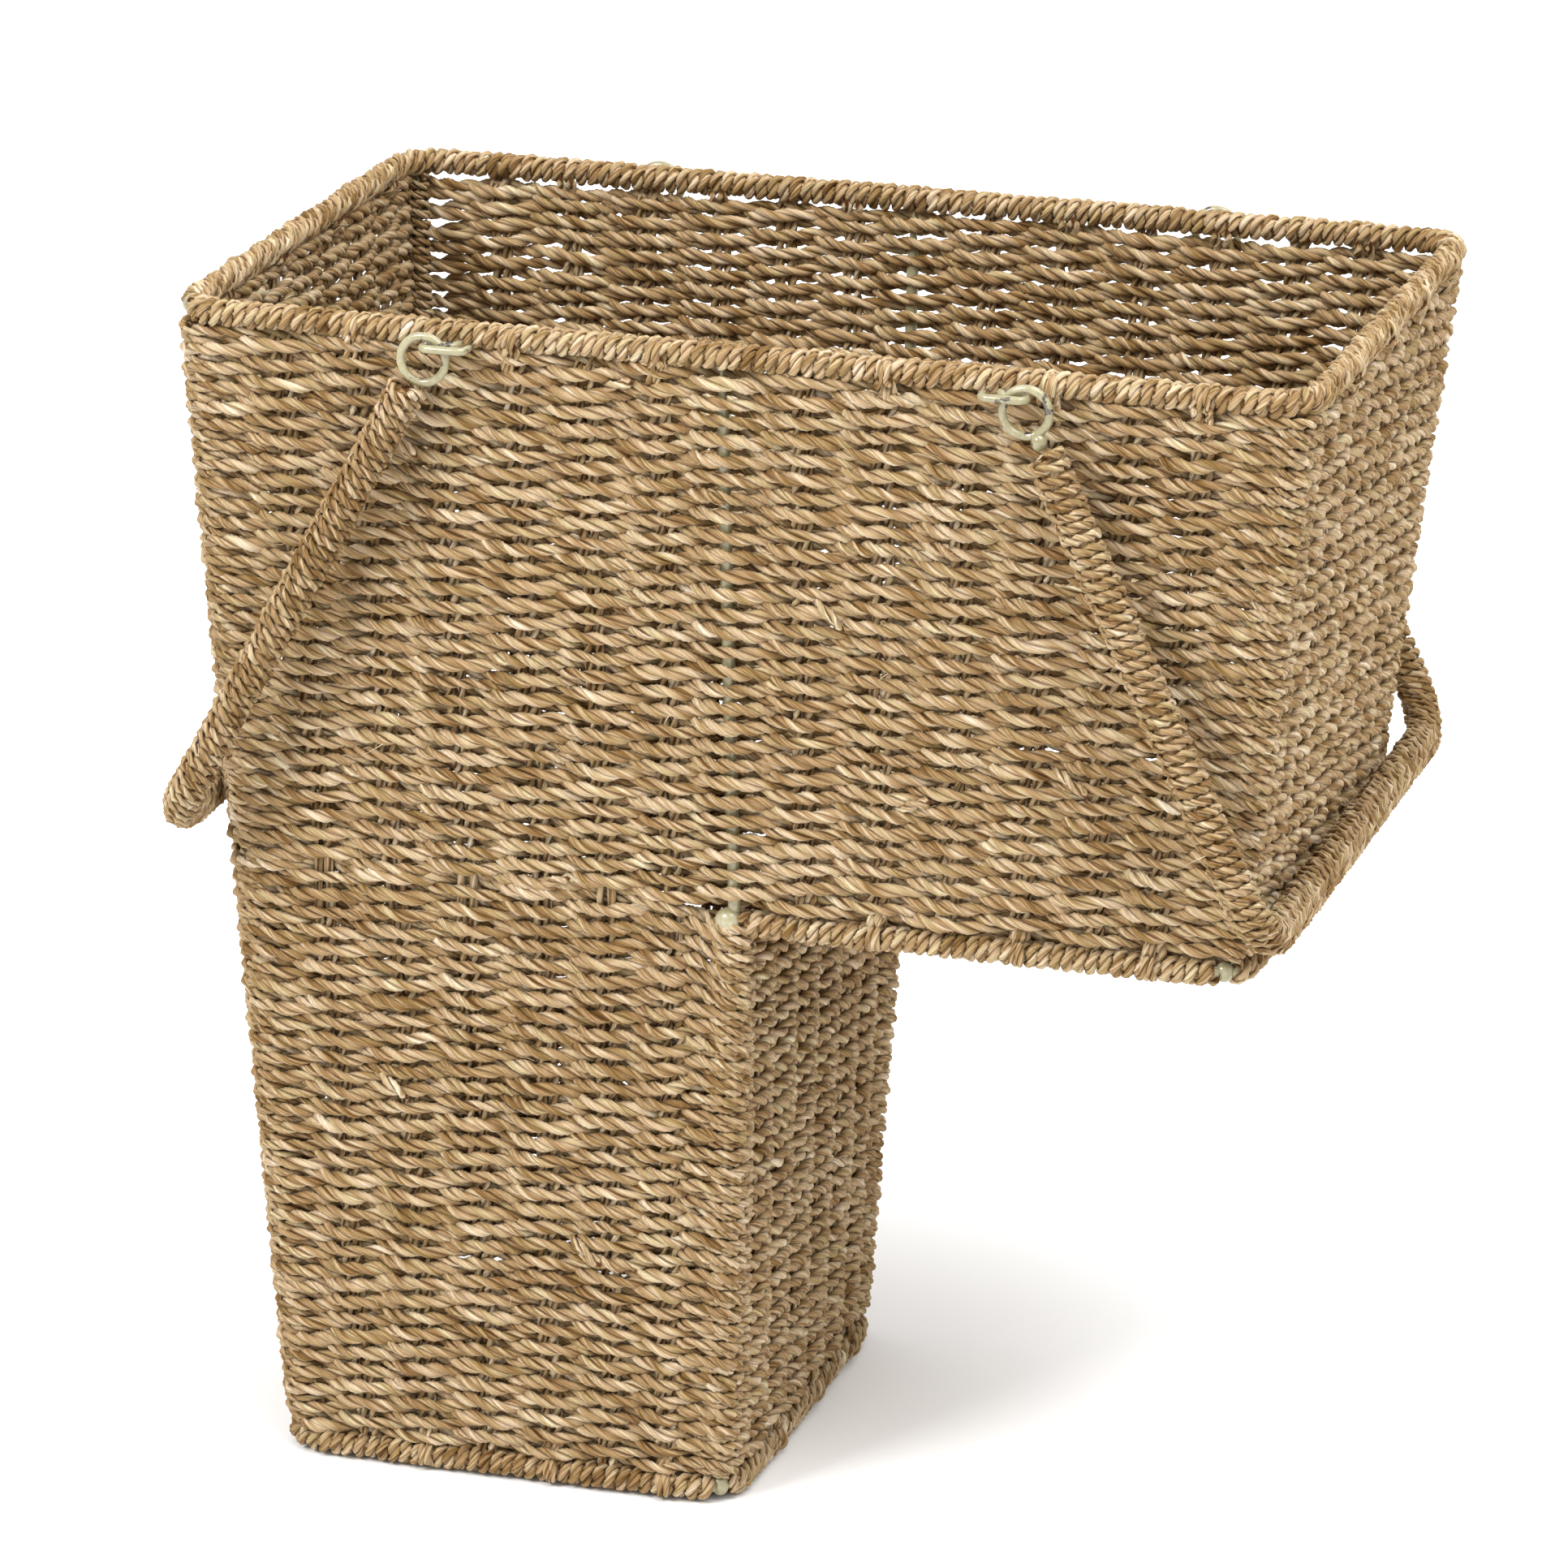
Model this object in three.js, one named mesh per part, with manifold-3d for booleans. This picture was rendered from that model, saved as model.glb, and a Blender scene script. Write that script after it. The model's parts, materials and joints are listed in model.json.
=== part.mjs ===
// A seagrass stair basket: a deep leg that stands on one step and a raised half that
// sits on the next step up. Cord is woven over a welded frame of round wire, every
// ring of the frame is bound with cord, and two bound bails hang at the ends.
// Millimetres, +Z up, +X along the length. The origin is on the floor, under the middle
// of the whole outline, bails included.

import * as THREE from 'three';
import { mergeVertices } from 'three/addons/utils/BufferGeometryUtils.js';
import Module from 'manifold-3d';

// Driving dimensions of the basket.
const OUTER_LENGTH = 381;
const OUTER_WIDTH = 231;
const OUTER_HEIGHT = 408;
const STEP_RISE = 206;
const LEFT_INSET = 23;
const FRONT_INSET = 29;
const RIGHT_INSET = 20;
const MIDDLE_POST_TOP_X = -4;
const MIDDLE_POST_NOTCH_X = -2.4;
const LEG_TOE_X = -7.4;
const CORNER_RADIUS = 14;

// Wire, binding and weave.
const WIRE_RADIUS = 2.1;
const BINDING_RADIUS = 4.7;
const WALL_THICKNESS = 8;
const FLOOR_THICKNESS = 7;
const FLOOR_CORNER_CUT = 7;
const GAP = 0.4;

// Bail handles and the eyes that they hang in.
const BAIL_ARM = 189;
const BAIL_BEND_RADIUS = 18;
const BAIL_WIRE_RADIUS = 1.6;
const BAIL_GRIP_RADIUS = 6.75;
const BAIL_REST_GAP = 0.6;
const BINDING_START = 17;
const PIVOT_X = 97.5;
const PIVOT_BELOW_RIM = 3.4;
const PIVOT_OUT = 13;
const RING_RADIUS = 7.9;
const EYE_LENGTH = 18.5;
const EYE_HALF_WIDTH = 3.9;
const EYE_BEND_RADIUS = 2.3;
const EYE_STEP = 4.8;

// Facets.
const WIRE_SIDES = 8;
const BINDING_SIDES = 12;
const RING_SIDES = 8;
const RING_STEPS = 20;
const BEND_STEPS = 4;
const EYE_BEND_STEPS = 3;

// Derived centre lines. The wires of the rim, base and ledge lie in level planes.
const LEFT_X = -(OUTER_LENGTH / 2 - BINDING_RADIUS);
const RIGHT_X = OUTER_LENGTH / 2 - BINDING_RADIUS;
const BACK_Y = OUTER_WIDTH / 2 - BINDING_RADIUS;
const BASE_Z = BINDING_RADIUS;
const RIM_Z = OUTER_HEIGHT - BINDING_RADIUS;
const LEDGE_Z = STEP_RISE + BINDING_RADIUS;
const PIVOT_Z = RIM_Z - PIVOT_BELOW_RIM;
const PIVOT_Y = BACK_Y + PIVOT_OUT;
const LEFT_BATTER = Math.atan(LEFT_INSET / (RIM_Z - BASE_Z));
const RIGHT_BATTER = Math.atan(RIGHT_INSET / (RIM_Z - LEDGE_Z));
const FRONT_BATTER = Math.atan(FRONT_INSET / (RIM_Z - BASE_Z));

// A corner post stands this far in from the sharp corner, along X and along Y.
const POST_INSET = CORNER_RADIUS * (1 - Math.SQRT1_2);
const PANEL_INSET = POST_INSET + WIRE_RADIUS + GAP;
const POST_SIDE_GAP = WIRE_RADIUS + GAP;
const BINDING_CLEAR = BINDING_RADIUS + GAP;

const wasm = await Module();
wasm.setup();

const basket = new THREE.Group();

// Where each wall's middle plane stands at a height.
const mix = (a, b, t) => a + (b - a) * t;
const leftX = (z) => mix(LEFT_X, LEFT_X + LEFT_INSET, (RIM_Z - z) / (RIM_Z - BASE_Z));
const rightX = (z) => mix(RIGHT_X, RIGHT_X - RIGHT_INSET, (RIM_Z - z) / (RIM_Z - LEDGE_Z));
const backY = (z) => mix(BACK_Y, BACK_Y - FRONT_INSET, (RIM_Z - z) / (RIM_Z - BASE_Z));
const legX = (z) => mix(MIDDLE_POST_NOTCH_X, LEG_TOE_X, (LEDGE_Z - z) / (LEDGE_Z - BASE_Z));

// Materials. Each node gets its own copy.
const cordColour = new THREE.Color('#b99c6c');
const bindingColour = new THREE.Color('#c9b184');
const wireColour = new THREE.Color('#aaa58c');

function cordMaterial() {
  return new THREE.MeshStandardMaterial({ color: cordColour, roughness: 0.85, metalness: 0 });
}

function bindingMaterial() {
  return new THREE.MeshStandardMaterial({ color: bindingColour, roughness: 0.8, metalness: 0 });
}

function wireMaterial() {
  return new THREE.MeshStandardMaterial({ color: wireColour, roughness: 0.5, metalness: 0.1 });
}

// Adds one named mesh to a group.
function add(group, name, geometry, material) {
  const mesh = new THREE.Mesh(geometry, material);
  mesh.name = name;
  group.add(mesh);
  return mesh;
}

// A path through points, one step of an extrusion for each of its segments. Its ends
// are cut square to their segments, or square to the directions given for them.
class JointedPath extends THREE.Curve {
  constructor(points, endDirections) {
    super();
    this.points = points;
    this.segments = points.length - 1;
    this.endDirections = endDirections;
  }

  getPointAt(u, target = new THREE.Vector3()) {
    return target.copy(this.points[Math.round(u * this.segments)]);
  }

  getTangentAt(u, target = new THREE.Vector3()) {
    const i = Math.round(u * this.segments);
    if (i === 0 && this.endDirections[0]) {
      return target.copy(this.endDirections[0]);
    }
    if (i === this.segments && this.endDirections[1]) {
      return target.copy(this.endDirections[1]);
    }
    const before = this.points[Math.max(i - 1, 0)];
    const here = this.points[i];
    const after = this.points[Math.min(i + 1, this.segments)];
    const incoming = here.clone().sub(before).normalize();
    const outgoing = after.clone().sub(here).normalize();
    return target.copy(incoming).add(outgoing).normalize();
  }
}

// A regular polygon with flats at the given distance from its middle.
function polygonPath(path, flatRadius, sides) {
  const radius = flatRadius / Math.cos(Math.PI / sides);
  for (let i = 0; i <= sides; i += 1) {
    const angle = ((i + 0.5) * 2 * Math.PI) / sides;
    const x = radius * Math.cos(angle);
    const y = radius * Math.sin(angle);
    if (i === 0) {
      path.moveTo(x, y);
    } else {
      path.lineTo(x, y);
    }
  }
  return path;
}

// A solid round bar along a path.
function rod(points, radius, sides) {
  const section = polygonPath(new THREE.Shape(), radius, sides);
  const path = new JointedPath(points, []);
  return new THREE.ExtrudeGeometry(section, { steps: path.segments, extrudePath: path });
}

// A tube of binding round a wire.
function tube(points, radius, boreRadius, endDirections = []) {
  const section = polygonPath(new THREE.Shape(), radius, BINDING_SIDES);
  section.holes.push(polygonPath(new THREE.Path(), boreRadius, WIRE_SIDES));
  const path = new JointedPath(points, endDirections);
  return new THREE.ExtrudeGeometry(section, { steps: path.segments, extrudePath: path });
}

// Points on a level arc about a corner's centre, between two angles.
function cornerArc(centreX, centreY, z, radius, from, to, steps) {
  const points = [];
  for (let i = 0; i <= steps; i += 1) {
    const angle = mix(from, to, i / steps);
    const x = centreX + radius * Math.cos(angle);
    const y = centreY + radius * Math.sin(angle);
    points.push(new THREE.Vector3(x, y, z));
  }
  return points;
}

// Rounds the inner corners of a path with arcs.
function bend(corners, radius, steps) {
  const points = [corners[0]];
  for (let i = 1; i < corners.length - 1; i += 1) {
    const incoming = corners[i].clone().sub(corners[i - 1]).normalize();
    const outgoing = corners[i + 1].clone().sub(corners[i]).normalize();
    const turn = incoming.angleTo(outgoing);
    const run = radius * Math.tan(turn / 2);
    const start = corners[i].clone().addScaledVector(incoming, -run);
    const side = outgoing.clone().addScaledVector(incoming, -Math.cos(turn)).normalize();
    const centre = start.clone().addScaledVector(side, radius);
    for (let k = 0; k <= steps; k += 1) {
      const angle = (turn * k) / steps;
      const point = centre.clone().addScaledVector(side, -radius * Math.cos(angle));
      points.push(point.addScaledVector(incoming, radius * Math.sin(angle)));
    }
  }
  points.push(corners[corners.length - 1]);
  return points;
}

const at = (x, y, z) => new THREE.Vector3(x, y, z);

// The direction of travel on a level arc, anticlockwise at an angle.
const along = (angle) => at(-Math.sin(angle), Math.cos(angle), 0);

// A level ring of wire, butted in the middle of its back side.
function ringWire(x0, x1, halfWidth, z) {
  const middle = (x0 + x1) / 2;
  const corners = [
    at(middle + GAP / 2, halfWidth, z),
    at(x1, halfWidth, z),
    at(x1, -halfWidth, z),
    at(x0, -halfWidth, z),
    at(x0, halfWidth, z),
    at(middle - GAP / 2, halfWidth, z),
  ];
  return rod(bend(corners, CORNER_RADIUS, BEND_STEPS), WIRE_RADIUS, WIRE_SIDES);
}

// The binding on one side of a level ring, from mid-corner to mid-corner. Side 0 is
// the right side, 1 the back, 2 the left and 3 the front.
function sideBinding(x0, x1, halfWidth, z, side) {
  const inner = BINDING_RADIUS + GAP / 2;
  const butt = GAP / 2 / (CORNER_RADIUS - inner);
  const east = x1 - CORNER_RADIUS;
  const west = x0 + CORNER_RADIUS;
  const north = halfWidth - CORNER_RADIUS;
  const centres = [[east, -north], [east, north], [west, north], [west, -north]];
  const [ax, ay] = centres[side];
  const [bx, by] = centres[(side + 1) % 4];
  const facing = (side * Math.PI) / 2;
  const from = facing - Math.PI / 4 + butt;
  const to = facing + Math.PI / 4 - butt;
  const steps = BEND_STEPS / 2;
  const first = cornerArc(ax, ay, z, CORNER_RADIUS, from, facing, steps);
  const last = cornerArc(bx, by, z, CORNER_RADIUS, facing, to, steps);
  const ends = [along(from), along(to)];
  return tube([...first, ...last], BINDING_RADIUS, WIRE_RADIUS + GAP, ends);
}

// The wires and bindings of a full level ring.
function addRing(name, x0, x1, halfWidth, z) {
  add(basket, `${name}_wire`, ringWire(x0, x1, halfWidth, z), wireMaterial());
  const sides = ['right', 'back', 'left', 'front'];
  sides.forEach((sideName, side) => {
    const geometry = sideBinding(x0, x1, halfWidth, z, side);
    add(basket, `${name}_binding_${sideName}`, geometry, bindingMaterial());
  });
}

// The ledge wire is a U that starts and ends at the middle posts.
function addLedge() {
  const start = MIDDLE_POST_NOTCH_X + POST_SIDE_GAP;
  const right = rightX(LEDGE_Z);
  const half = backY(LEDGE_Z);
  const corners = [
    at(start, -half, LEDGE_Z),
    at(right, -half, LEDGE_Z),
    at(right, half, LEDGE_Z),
    at(start, half, LEDGE_Z),
  ];
  const wire = rod(bend(corners, CORNER_RADIUS, BEND_STEPS), WIRE_RADIUS, WIRE_SIDES);
  add(basket, 'ledge_wire', wire, wireMaterial());

  const rightBinding = sideBinding(start, right, half, LEDGE_Z, 0);
  add(basket, 'ledge_binding_right', rightBinding, bindingMaterial());

  const butt = GAP / 2 / (CORNER_RADIUS - BINDING_RADIUS);
  const quarter = Math.PI / 4;
  const east = right - CORNER_RADIUS;
  const north = half - CORNER_RADIUS;
  for (const side of [-1, 1]) {
    const from = (side * Math.PI) / 2;
    const to = side * (quarter + butt);
    const arc = cornerArc(east, side * north, LEDGE_Z, CORNER_RADIUS, from, to, BEND_STEPS / 2);
    const points = [at(start, side * half, LEDGE_Z), ...arc];
    const ends = [at(1, 0, 0), along(to).multiplyScalar(-side)];
    const binding = tube(points, BINDING_RADIUS, WIRE_RADIUS + GAP, ends);
    add(basket, `ledge_binding_${side < 0 ? 'front' : 'back'}`, binding, bindingMaterial());
  }

  const end = half - POST_SIDE_GAP;
  const crossPoints = [at(MIDDLE_POST_NOTCH_X, -end, LEDGE_Z), at(MIDDLE_POST_NOTCH_X, end, LEDGE_Z)];
  add(basket, 'notch_cross_wire', rod(crossPoints, WIRE_RADIUS, WIRE_SIDES), wireMaterial());
}

// Three posts on each long wall: two at the corners and one down the middle, which
// leans over at the notch to become the corner of the leg.
function addPosts() {
  const top = RIM_Z - BINDING_CLEAR;
  const bottom = BASE_Z + BINDING_CLEAR;
  const ledgeTop = LEDGE_Z + BINDING_CLEAR;
  for (const side of [-1, 1]) {
    const wall = side < 0 ? 'front' : 'back';
    const cornerY = (z) => side * (backY(z) - POST_INSET);
    const left = [
      at(leftX(top) + POST_INSET, cornerY(top), top),
      at(leftX(bottom) + POST_INSET, cornerY(bottom), bottom),
    ];
    const middle = [
      at(MIDDLE_POST_TOP_X, side * backY(top), top),
      at(MIDDLE_POST_NOTCH_X, side * backY(LEDGE_Z), LEDGE_Z),
      at(legX(bottom) - POST_INSET, cornerY(bottom), bottom),
    ];
    const right = [
      at(rightX(top) - POST_INSET, cornerY(top), top),
      at(rightX(ledgeTop) - POST_INSET, cornerY(ledgeTop), ledgeTop),
    ];
    add(basket, `${wall}_left_post`, rod(left, WIRE_RADIUS, WIRE_SIDES), wireMaterial());
    add(basket, `${wall}_middle_post`, rod(middle, WIRE_RADIUS, WIRE_SIDES), wireMaterial());
    add(basket, `${wall}_right_post`, rod(right, WIRE_RADIUS, WIRE_SIDES), wireMaterial());
  }
}

// A flat woven panel. Its outline is in the wall's own plane: across, and up from the
// origin. The panel is as thick on one side of the plane as on the other.
function addPanel(name, outline, origin, across, up, thickness) {
  const shape = new THREE.Shape(outline.map(([u, v]) => new THREE.Vector2(u, v)));
  const geometry = new THREE.ExtrudeGeometry(shape, { depth: thickness, bevelEnabled: false });
  geometry.translate(0, 0, -thickness / 2);
  const mesh = add(basket, name, geometry, cordMaterial());
  const basis = new THREE.Matrix4().makeBasis(across, up, across.clone().cross(up));
  mesh.quaternion.setFromRotationMatrix(basis);
  mesh.position.copy(origin);
}

// The long walls. Each is two panels, either side of the middle post.
function addLongWalls() {
  const top = RIM_Z - BINDING_CLEAR;
  const bottom = BASE_Z + BINDING_CLEAR;
  const ledgeTop = LEDGE_Z + BINDING_CLEAR;
  const slope = Math.cos(FRONT_BATTER);
  const v = (z) => (z - RIM_Z) / slope;
  const postLeft = MIDDLE_POST_TOP_X - POST_SIDE_GAP;
  const notchLeft = MIDDLE_POST_NOTCH_X - POST_SIDE_GAP;
  const postRight = MIDDLE_POST_TOP_X + POST_SIDE_GAP;
  const notchRight = MIDDLE_POST_NOTCH_X + POST_SIDE_GAP;
  const leftPanel = [
    [leftX(bottom) + PANEL_INSET, v(bottom)],
    [legX(bottom) - PANEL_INSET, v(bottom)],
    [notchLeft, v(LEDGE_Z)],
    [postLeft, v(top)],
    [leftX(top) + PANEL_INSET, v(top)],
  ];
  const rightPanel = [
    [notchRight, v(ledgeTop)],
    [rightX(ledgeTop) - PANEL_INSET, v(ledgeTop)],
    [rightX(top) - PANEL_INSET, v(top)],
    [postRight, v(top)],
  ];
  const across = at(1, 0, 0);
  for (const side of [-1, 1]) {
    const wall = side < 0 ? 'front' : 'back';
    const up = at(0, side * Math.sin(FRONT_BATTER), slope);
    const origin = at(0, side * BACK_Y, RIM_Z);
    addPanel(`${wall}_weave_left`, leftPanel, origin, across, up, WALL_THICKNESS);
    addPanel(`${wall}_weave_right`, rightPanel, origin, across, up, WALL_THICKNESS);
  }
}

// An end wall between two heights, leaning by the batter angle.
function addEndWall(name, x, z0, z1, batter) {
  const v = (z) => (z - RIM_Z) / Math.cos(batter);
  const half = (z) => backY(z) - PANEL_INSET;
  const outline = [
    [-half(z0), v(z0)],
    [half(z0), v(z0)],
    [half(z1), v(z1)],
    [-half(z1), v(z1)],
  ];
  const up = at(Math.sin(batter), 0, Math.cos(batter));
  addPanel(name, outline, at(x, 0, RIM_Z), at(0, 1, 0), up, WALL_THICKNESS);
}

function addEndWalls() {
  const top = RIM_Z - BINDING_CLEAR;
  const bottom = BASE_Z + BINDING_CLEAR;
  addEndWall('left_end_weave', LEFT_X, bottom, top, -LEFT_BATTER);
  addEndWall('right_end_weave', RIGHT_X, LEDGE_Z + BINDING_CLEAR, top, RIGHT_BATTER);

  const legBatter = Math.atan((MIDDLE_POST_NOTCH_X - LEG_TOE_X) / (LEDGE_Z - BASE_Z));
  const legTop = LEDGE_Z - FLOOR_THICKNESS / 2 - GAP;
  addEndWall('leg_inner_weave', legX(RIM_Z), bottom, legTop, legBatter);
}

// A level floor panel inside a ring, with its corners cut to clear the ring's bends.
function addFloor(name, x0, x1, halfWidth, z) {
  const cut = FLOOR_CORNER_CUT;
  const outline = [
    [x0 + cut, -halfWidth],
    [x1 - cut, -halfWidth],
    [x1, -halfWidth + cut],
    [x1, halfWidth - cut],
    [x1 - cut, halfWidth],
    [x0 + cut, halfWidth],
    [x0, halfWidth - cut],
    [x0, -halfWidth + cut],
  ];
  addPanel(name, outline, at(0, 0, z), at(1, 0, 0), at(0, 1, 0), FLOOR_THICKNESS);
}

function addFloors() {
  const baseHalf = backY(BASE_Z) - BINDING_CLEAR;
  const baseLeft = leftX(BASE_Z) + BINDING_CLEAR;
  const baseRight = LEG_TOE_X - BINDING_CLEAR;
  addFloor('base_floor_weave', baseLeft, baseRight, baseHalf, BASE_Z);

  const ledgeHalf = backY(LEDGE_Z) - BINDING_CLEAR;
  const ledgeLeft = MIDDLE_POST_NOTCH_X + POST_SIDE_GAP;
  const ledgeRight = rightX(LEDGE_Z) - BINDING_CLEAR;
  addFloor('ledge_floor_weave', ledgeLeft, ledgeRight, ledgeHalf, LEDGE_Z);
}

// A wire eye outside the rim. Its closed end is the bar that a bail hangs from, and
// its two legs run towards the middle of the basket and turn in to the rim.
function addEye(name, endSign, wallSign) {
  const reach = BACK_Y + BINDING_RADIUS + GAP;
  const x = (inward) => endSign * (PIVOT_X - inward);
  const y = (out) => wallSign * out;
  const outer = PIVOT_Y + EYE_HALF_WIDTH;
  const inner = PIVOT_Y - EYE_HALF_WIDTH;
  const corners = [
    at(x(EYE_LENGTH), y(reach), PIVOT_Z),
    at(x(EYE_LENGTH), y(outer), PIVOT_Z),
    at(x(0), y(outer), PIVOT_Z),
    at(x(0), y(inner), PIVOT_Z),
    at(x(EYE_LENGTH - EYE_STEP), y(inner), PIVOT_Z),
    at(x(EYE_LENGTH - EYE_STEP), y(reach), PIVOT_Z),
  ];
  const points = bend(corners, EYE_BEND_RADIUS, EYE_BEND_STEPS);
  add(basket, name, rod(points, BAIL_WIRE_RADIUS, WIRE_SIDES), wireMaterial());
}

// A closed mesh as a solid for joining.
function toSolid(geometry) {
  const bare = geometry.clone();
  bare.deleteAttribute('normal');
  bare.deleteAttribute('uv');
  const merged = mergeVertices(bare);
  const vertProperties = new Float32Array(merged.attributes.position.array);
  const triVerts = new Uint32Array(merged.index.array);
  return new wasm.Manifold(new wasm.Mesh({ numProp: 3, vertProperties, triVerts }));
}

function fromSolid(solid) {
  const mesh = solid.getMesh();
  const geometry = new THREE.BufferGeometry();
  geometry.setAttribute('position', new THREE.BufferAttribute(mesh.vertProperties, 3));
  geometry.setIndex(new THREE.BufferAttribute(mesh.triVerts, 1));
  geometry.computeVertexNormals();
  return geometry;
}

// The bail's wire: a U with its ends closed into rings. The pivot is at the group's
// origin height, the arms run down local Z and the grip runs along Y.
function bailWire() {
  const ringZ = -(RING_RADIUS - 2 * BAIL_WIRE_RADIUS - GAP);
  const corners = [
    at(0, -PIVOT_Y, ringZ - RING_RADIUS),
    at(0, -PIVOT_Y, -BAIL_ARM),
    at(0, PIVOT_Y, -BAIL_ARM),
    at(0, PIVOT_Y, ringZ - RING_RADIUS),
  ];
  let solid = toSolid(rod(bend(corners, BAIL_BEND_RADIUS, BEND_STEPS), BAIL_WIRE_RADIUS, WIRE_SIDES));
  for (const side of [-1, 1]) {
    const ring = new THREE.TorusGeometry(RING_RADIUS, BAIL_WIRE_RADIUS, RING_SIDES, RING_STEPS);
    ring.rotateX(Math.PI / 2);
    ring.translate(0, side * PIVOT_Y, ringZ);
    solid = solid.add(toSolid(ring));
  }
  return fromSolid(solid);
}

// The angle from plumb at which a bail comes to rest on its end wall.
function restAngle(batter) {
  const standOff = WALL_THICKNESS / 2 + BAIL_GRIP_RADIUS + BAIL_REST_GAP;
  const run = (RIGHT_X - PIVOT_X) * Math.cos(batter);
  const drop = (PIVOT_Z - RIM_Z) * Math.sin(batter);
  return Math.asin((standOff + run + drop) / BAIL_ARM) - batter;
}

function addBail(name, endSign, batter) {
  const bail = new THREE.Group();
  bail.position.set(endSign * PIVOT_X, 0, PIVOT_Z);
  bail.rotation.y = -endSign * restAngle(batter);
  basket.add(bail);
  add(bail, `${name}_wire`, bailWire(), wireMaterial());

  const bore = BAIL_WIRE_RADIUS + GAP;
  const bendTop = -(BAIL_ARM - BAIL_BEND_RADIUS);
  for (const side of [-1, 1]) {
    const points = [at(0, side * PIVOT_Y, -BINDING_START), at(0, side * PIVOT_Y, bendTop + GAP)];
    const binding = tube(points, BAIL_GRIP_RADIUS, bore);
    add(bail, `${name}_binding_${side < 0 ? 'front' : 'back'}`, binding, bindingMaterial());
  }
  const corners = [
    at(0, -PIVOT_Y, bendTop),
    at(0, -PIVOT_Y, -BAIL_ARM),
    at(0, PIVOT_Y, -BAIL_ARM),
    at(0, PIVOT_Y, bendTop),
  ];
  const points = bend(corners, BAIL_BEND_RADIUS, BEND_STEPS).slice(1, -1);
  const grip = tube(points, BAIL_GRIP_RADIUS, bore, [at(0, 0, -1), at(0, 0, 1)]);
  add(bail, `${name}_grip`, grip, bindingMaterial());
}

addRing('rim', LEFT_X, RIGHT_X, BACK_Y, RIM_Z);
addRing('base', leftX(BASE_Z), LEG_TOE_X, backY(BASE_Z), BASE_Z);
addLedge();
addPosts();
addLongWalls();
addEndWalls();
addFloors();
addEye('front_left_eye', -1, -1);
addEye('back_left_eye', -1, 1);
addEye('front_right_eye', 1, -1);
addEye('back_right_eye', 1, 1);
addBail('left_bail', -1, LEFT_BATTER);
addBail('right_bail', 1, RIGHT_BATTER);

// The hanging bails reach further past one end than the other, so the basket is moved
// along until its outline is centred on the origin.
basket.updateMatrixWorld(true);
basket.position.x = -new THREE.Box3().setFromObject(basket, true).getCenter(at(0, 0, 0)).x;

export default basket;
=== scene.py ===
"""The looks of the seagrass stair basket: every cord of the weave, floors and bindings is swept as a two-ply
twisted cord over and under its stakes, and the wire frame, eyes and bail rings are smooth painted steel."""

import json
import math

import bpy
import numpy as np
from mathutils import Matrix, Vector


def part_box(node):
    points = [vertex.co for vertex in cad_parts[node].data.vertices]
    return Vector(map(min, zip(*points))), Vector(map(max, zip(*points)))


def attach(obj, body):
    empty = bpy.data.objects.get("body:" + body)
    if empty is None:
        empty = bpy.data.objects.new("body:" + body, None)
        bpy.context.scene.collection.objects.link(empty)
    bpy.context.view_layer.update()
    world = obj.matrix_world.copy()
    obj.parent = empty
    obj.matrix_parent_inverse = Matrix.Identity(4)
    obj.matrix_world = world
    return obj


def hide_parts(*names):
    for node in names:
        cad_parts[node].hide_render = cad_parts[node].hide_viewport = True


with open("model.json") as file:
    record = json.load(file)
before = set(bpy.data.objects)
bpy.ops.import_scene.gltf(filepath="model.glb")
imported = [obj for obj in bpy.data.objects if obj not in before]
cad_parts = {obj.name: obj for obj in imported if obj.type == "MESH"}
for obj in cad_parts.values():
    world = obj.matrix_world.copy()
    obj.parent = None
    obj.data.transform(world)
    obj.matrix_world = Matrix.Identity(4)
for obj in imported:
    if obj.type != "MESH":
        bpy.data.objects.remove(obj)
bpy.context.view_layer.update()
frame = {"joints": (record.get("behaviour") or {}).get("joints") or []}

# Lengths here are in millimetres until a mesh is made.
MM = 0.001
SEED = 7

# The weave. Two plies make a cord, and its lay is the length in which they turn once round each other.
COURSE_PITCH = 3.2
WEAVER_PLY = 1.43
WEAVER_OFFSET = 0.95
CORD_LAY = 16.0
CORNER_LAY = 11.5
CUT_END_LAY = 13.0
STEP = 1.6
STAKE_STEP = 2.5
STAKE_WAVE = 2.6
POST_WAVE = 3.3
STAKE_SPREAD = 1.95
STAKE_END = 0.5
STAKE_LEAN = 5.2
LEFT_HALF_STAKES = (0.16, 0.31, 0.46, 0.61, 0.745, 0.88)
RIGHT_HALF_STAKES = (0.145, 0.292, 0.436, 0.582, 0.7225, 0.845)
LEFT_END_STAKES = 7
RIGHT_END_STAKES = 8
LEG_END_STAKES = 6
END_WALLS = ("left_end", "right_end", "leg_inner")
END_WALL_WAVE = 0.8
END_WALL_SIZE = 1.07
NO_CORNER = 999.0
CAP_SIZE = 0.03
FRAY_EVERY = 1400
FRAY_RADIUS = 0.13
# Frays' section coordinates, set past the reach where the painted crease shade darkens a cord.
FRAY_SECTION_PAST_CREASE_SHADE = 1.6

# The floors.
FLOOR_PITCH = 3.15
FLOOR_STEP = 2.8
FLOOR_STAKE_STEP = 3.5
FLOOR_REACH = 2.2
FLOOR_WAVE = 1.9

# How the courses fall, pair up and turn at the corners, and sag along the top of the back wall.
CORNER_FALL = 0.45
CORNER_PAIRING = 0.9
BACK_PAIRING = 2.7
CORNER_SQUEEZE = 0.12
CORNER_TURN = 8
NOTCH_DROP = 6.0
BACK_SAG, BACK_SAG_WANDER = 1.5, 1.1

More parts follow.
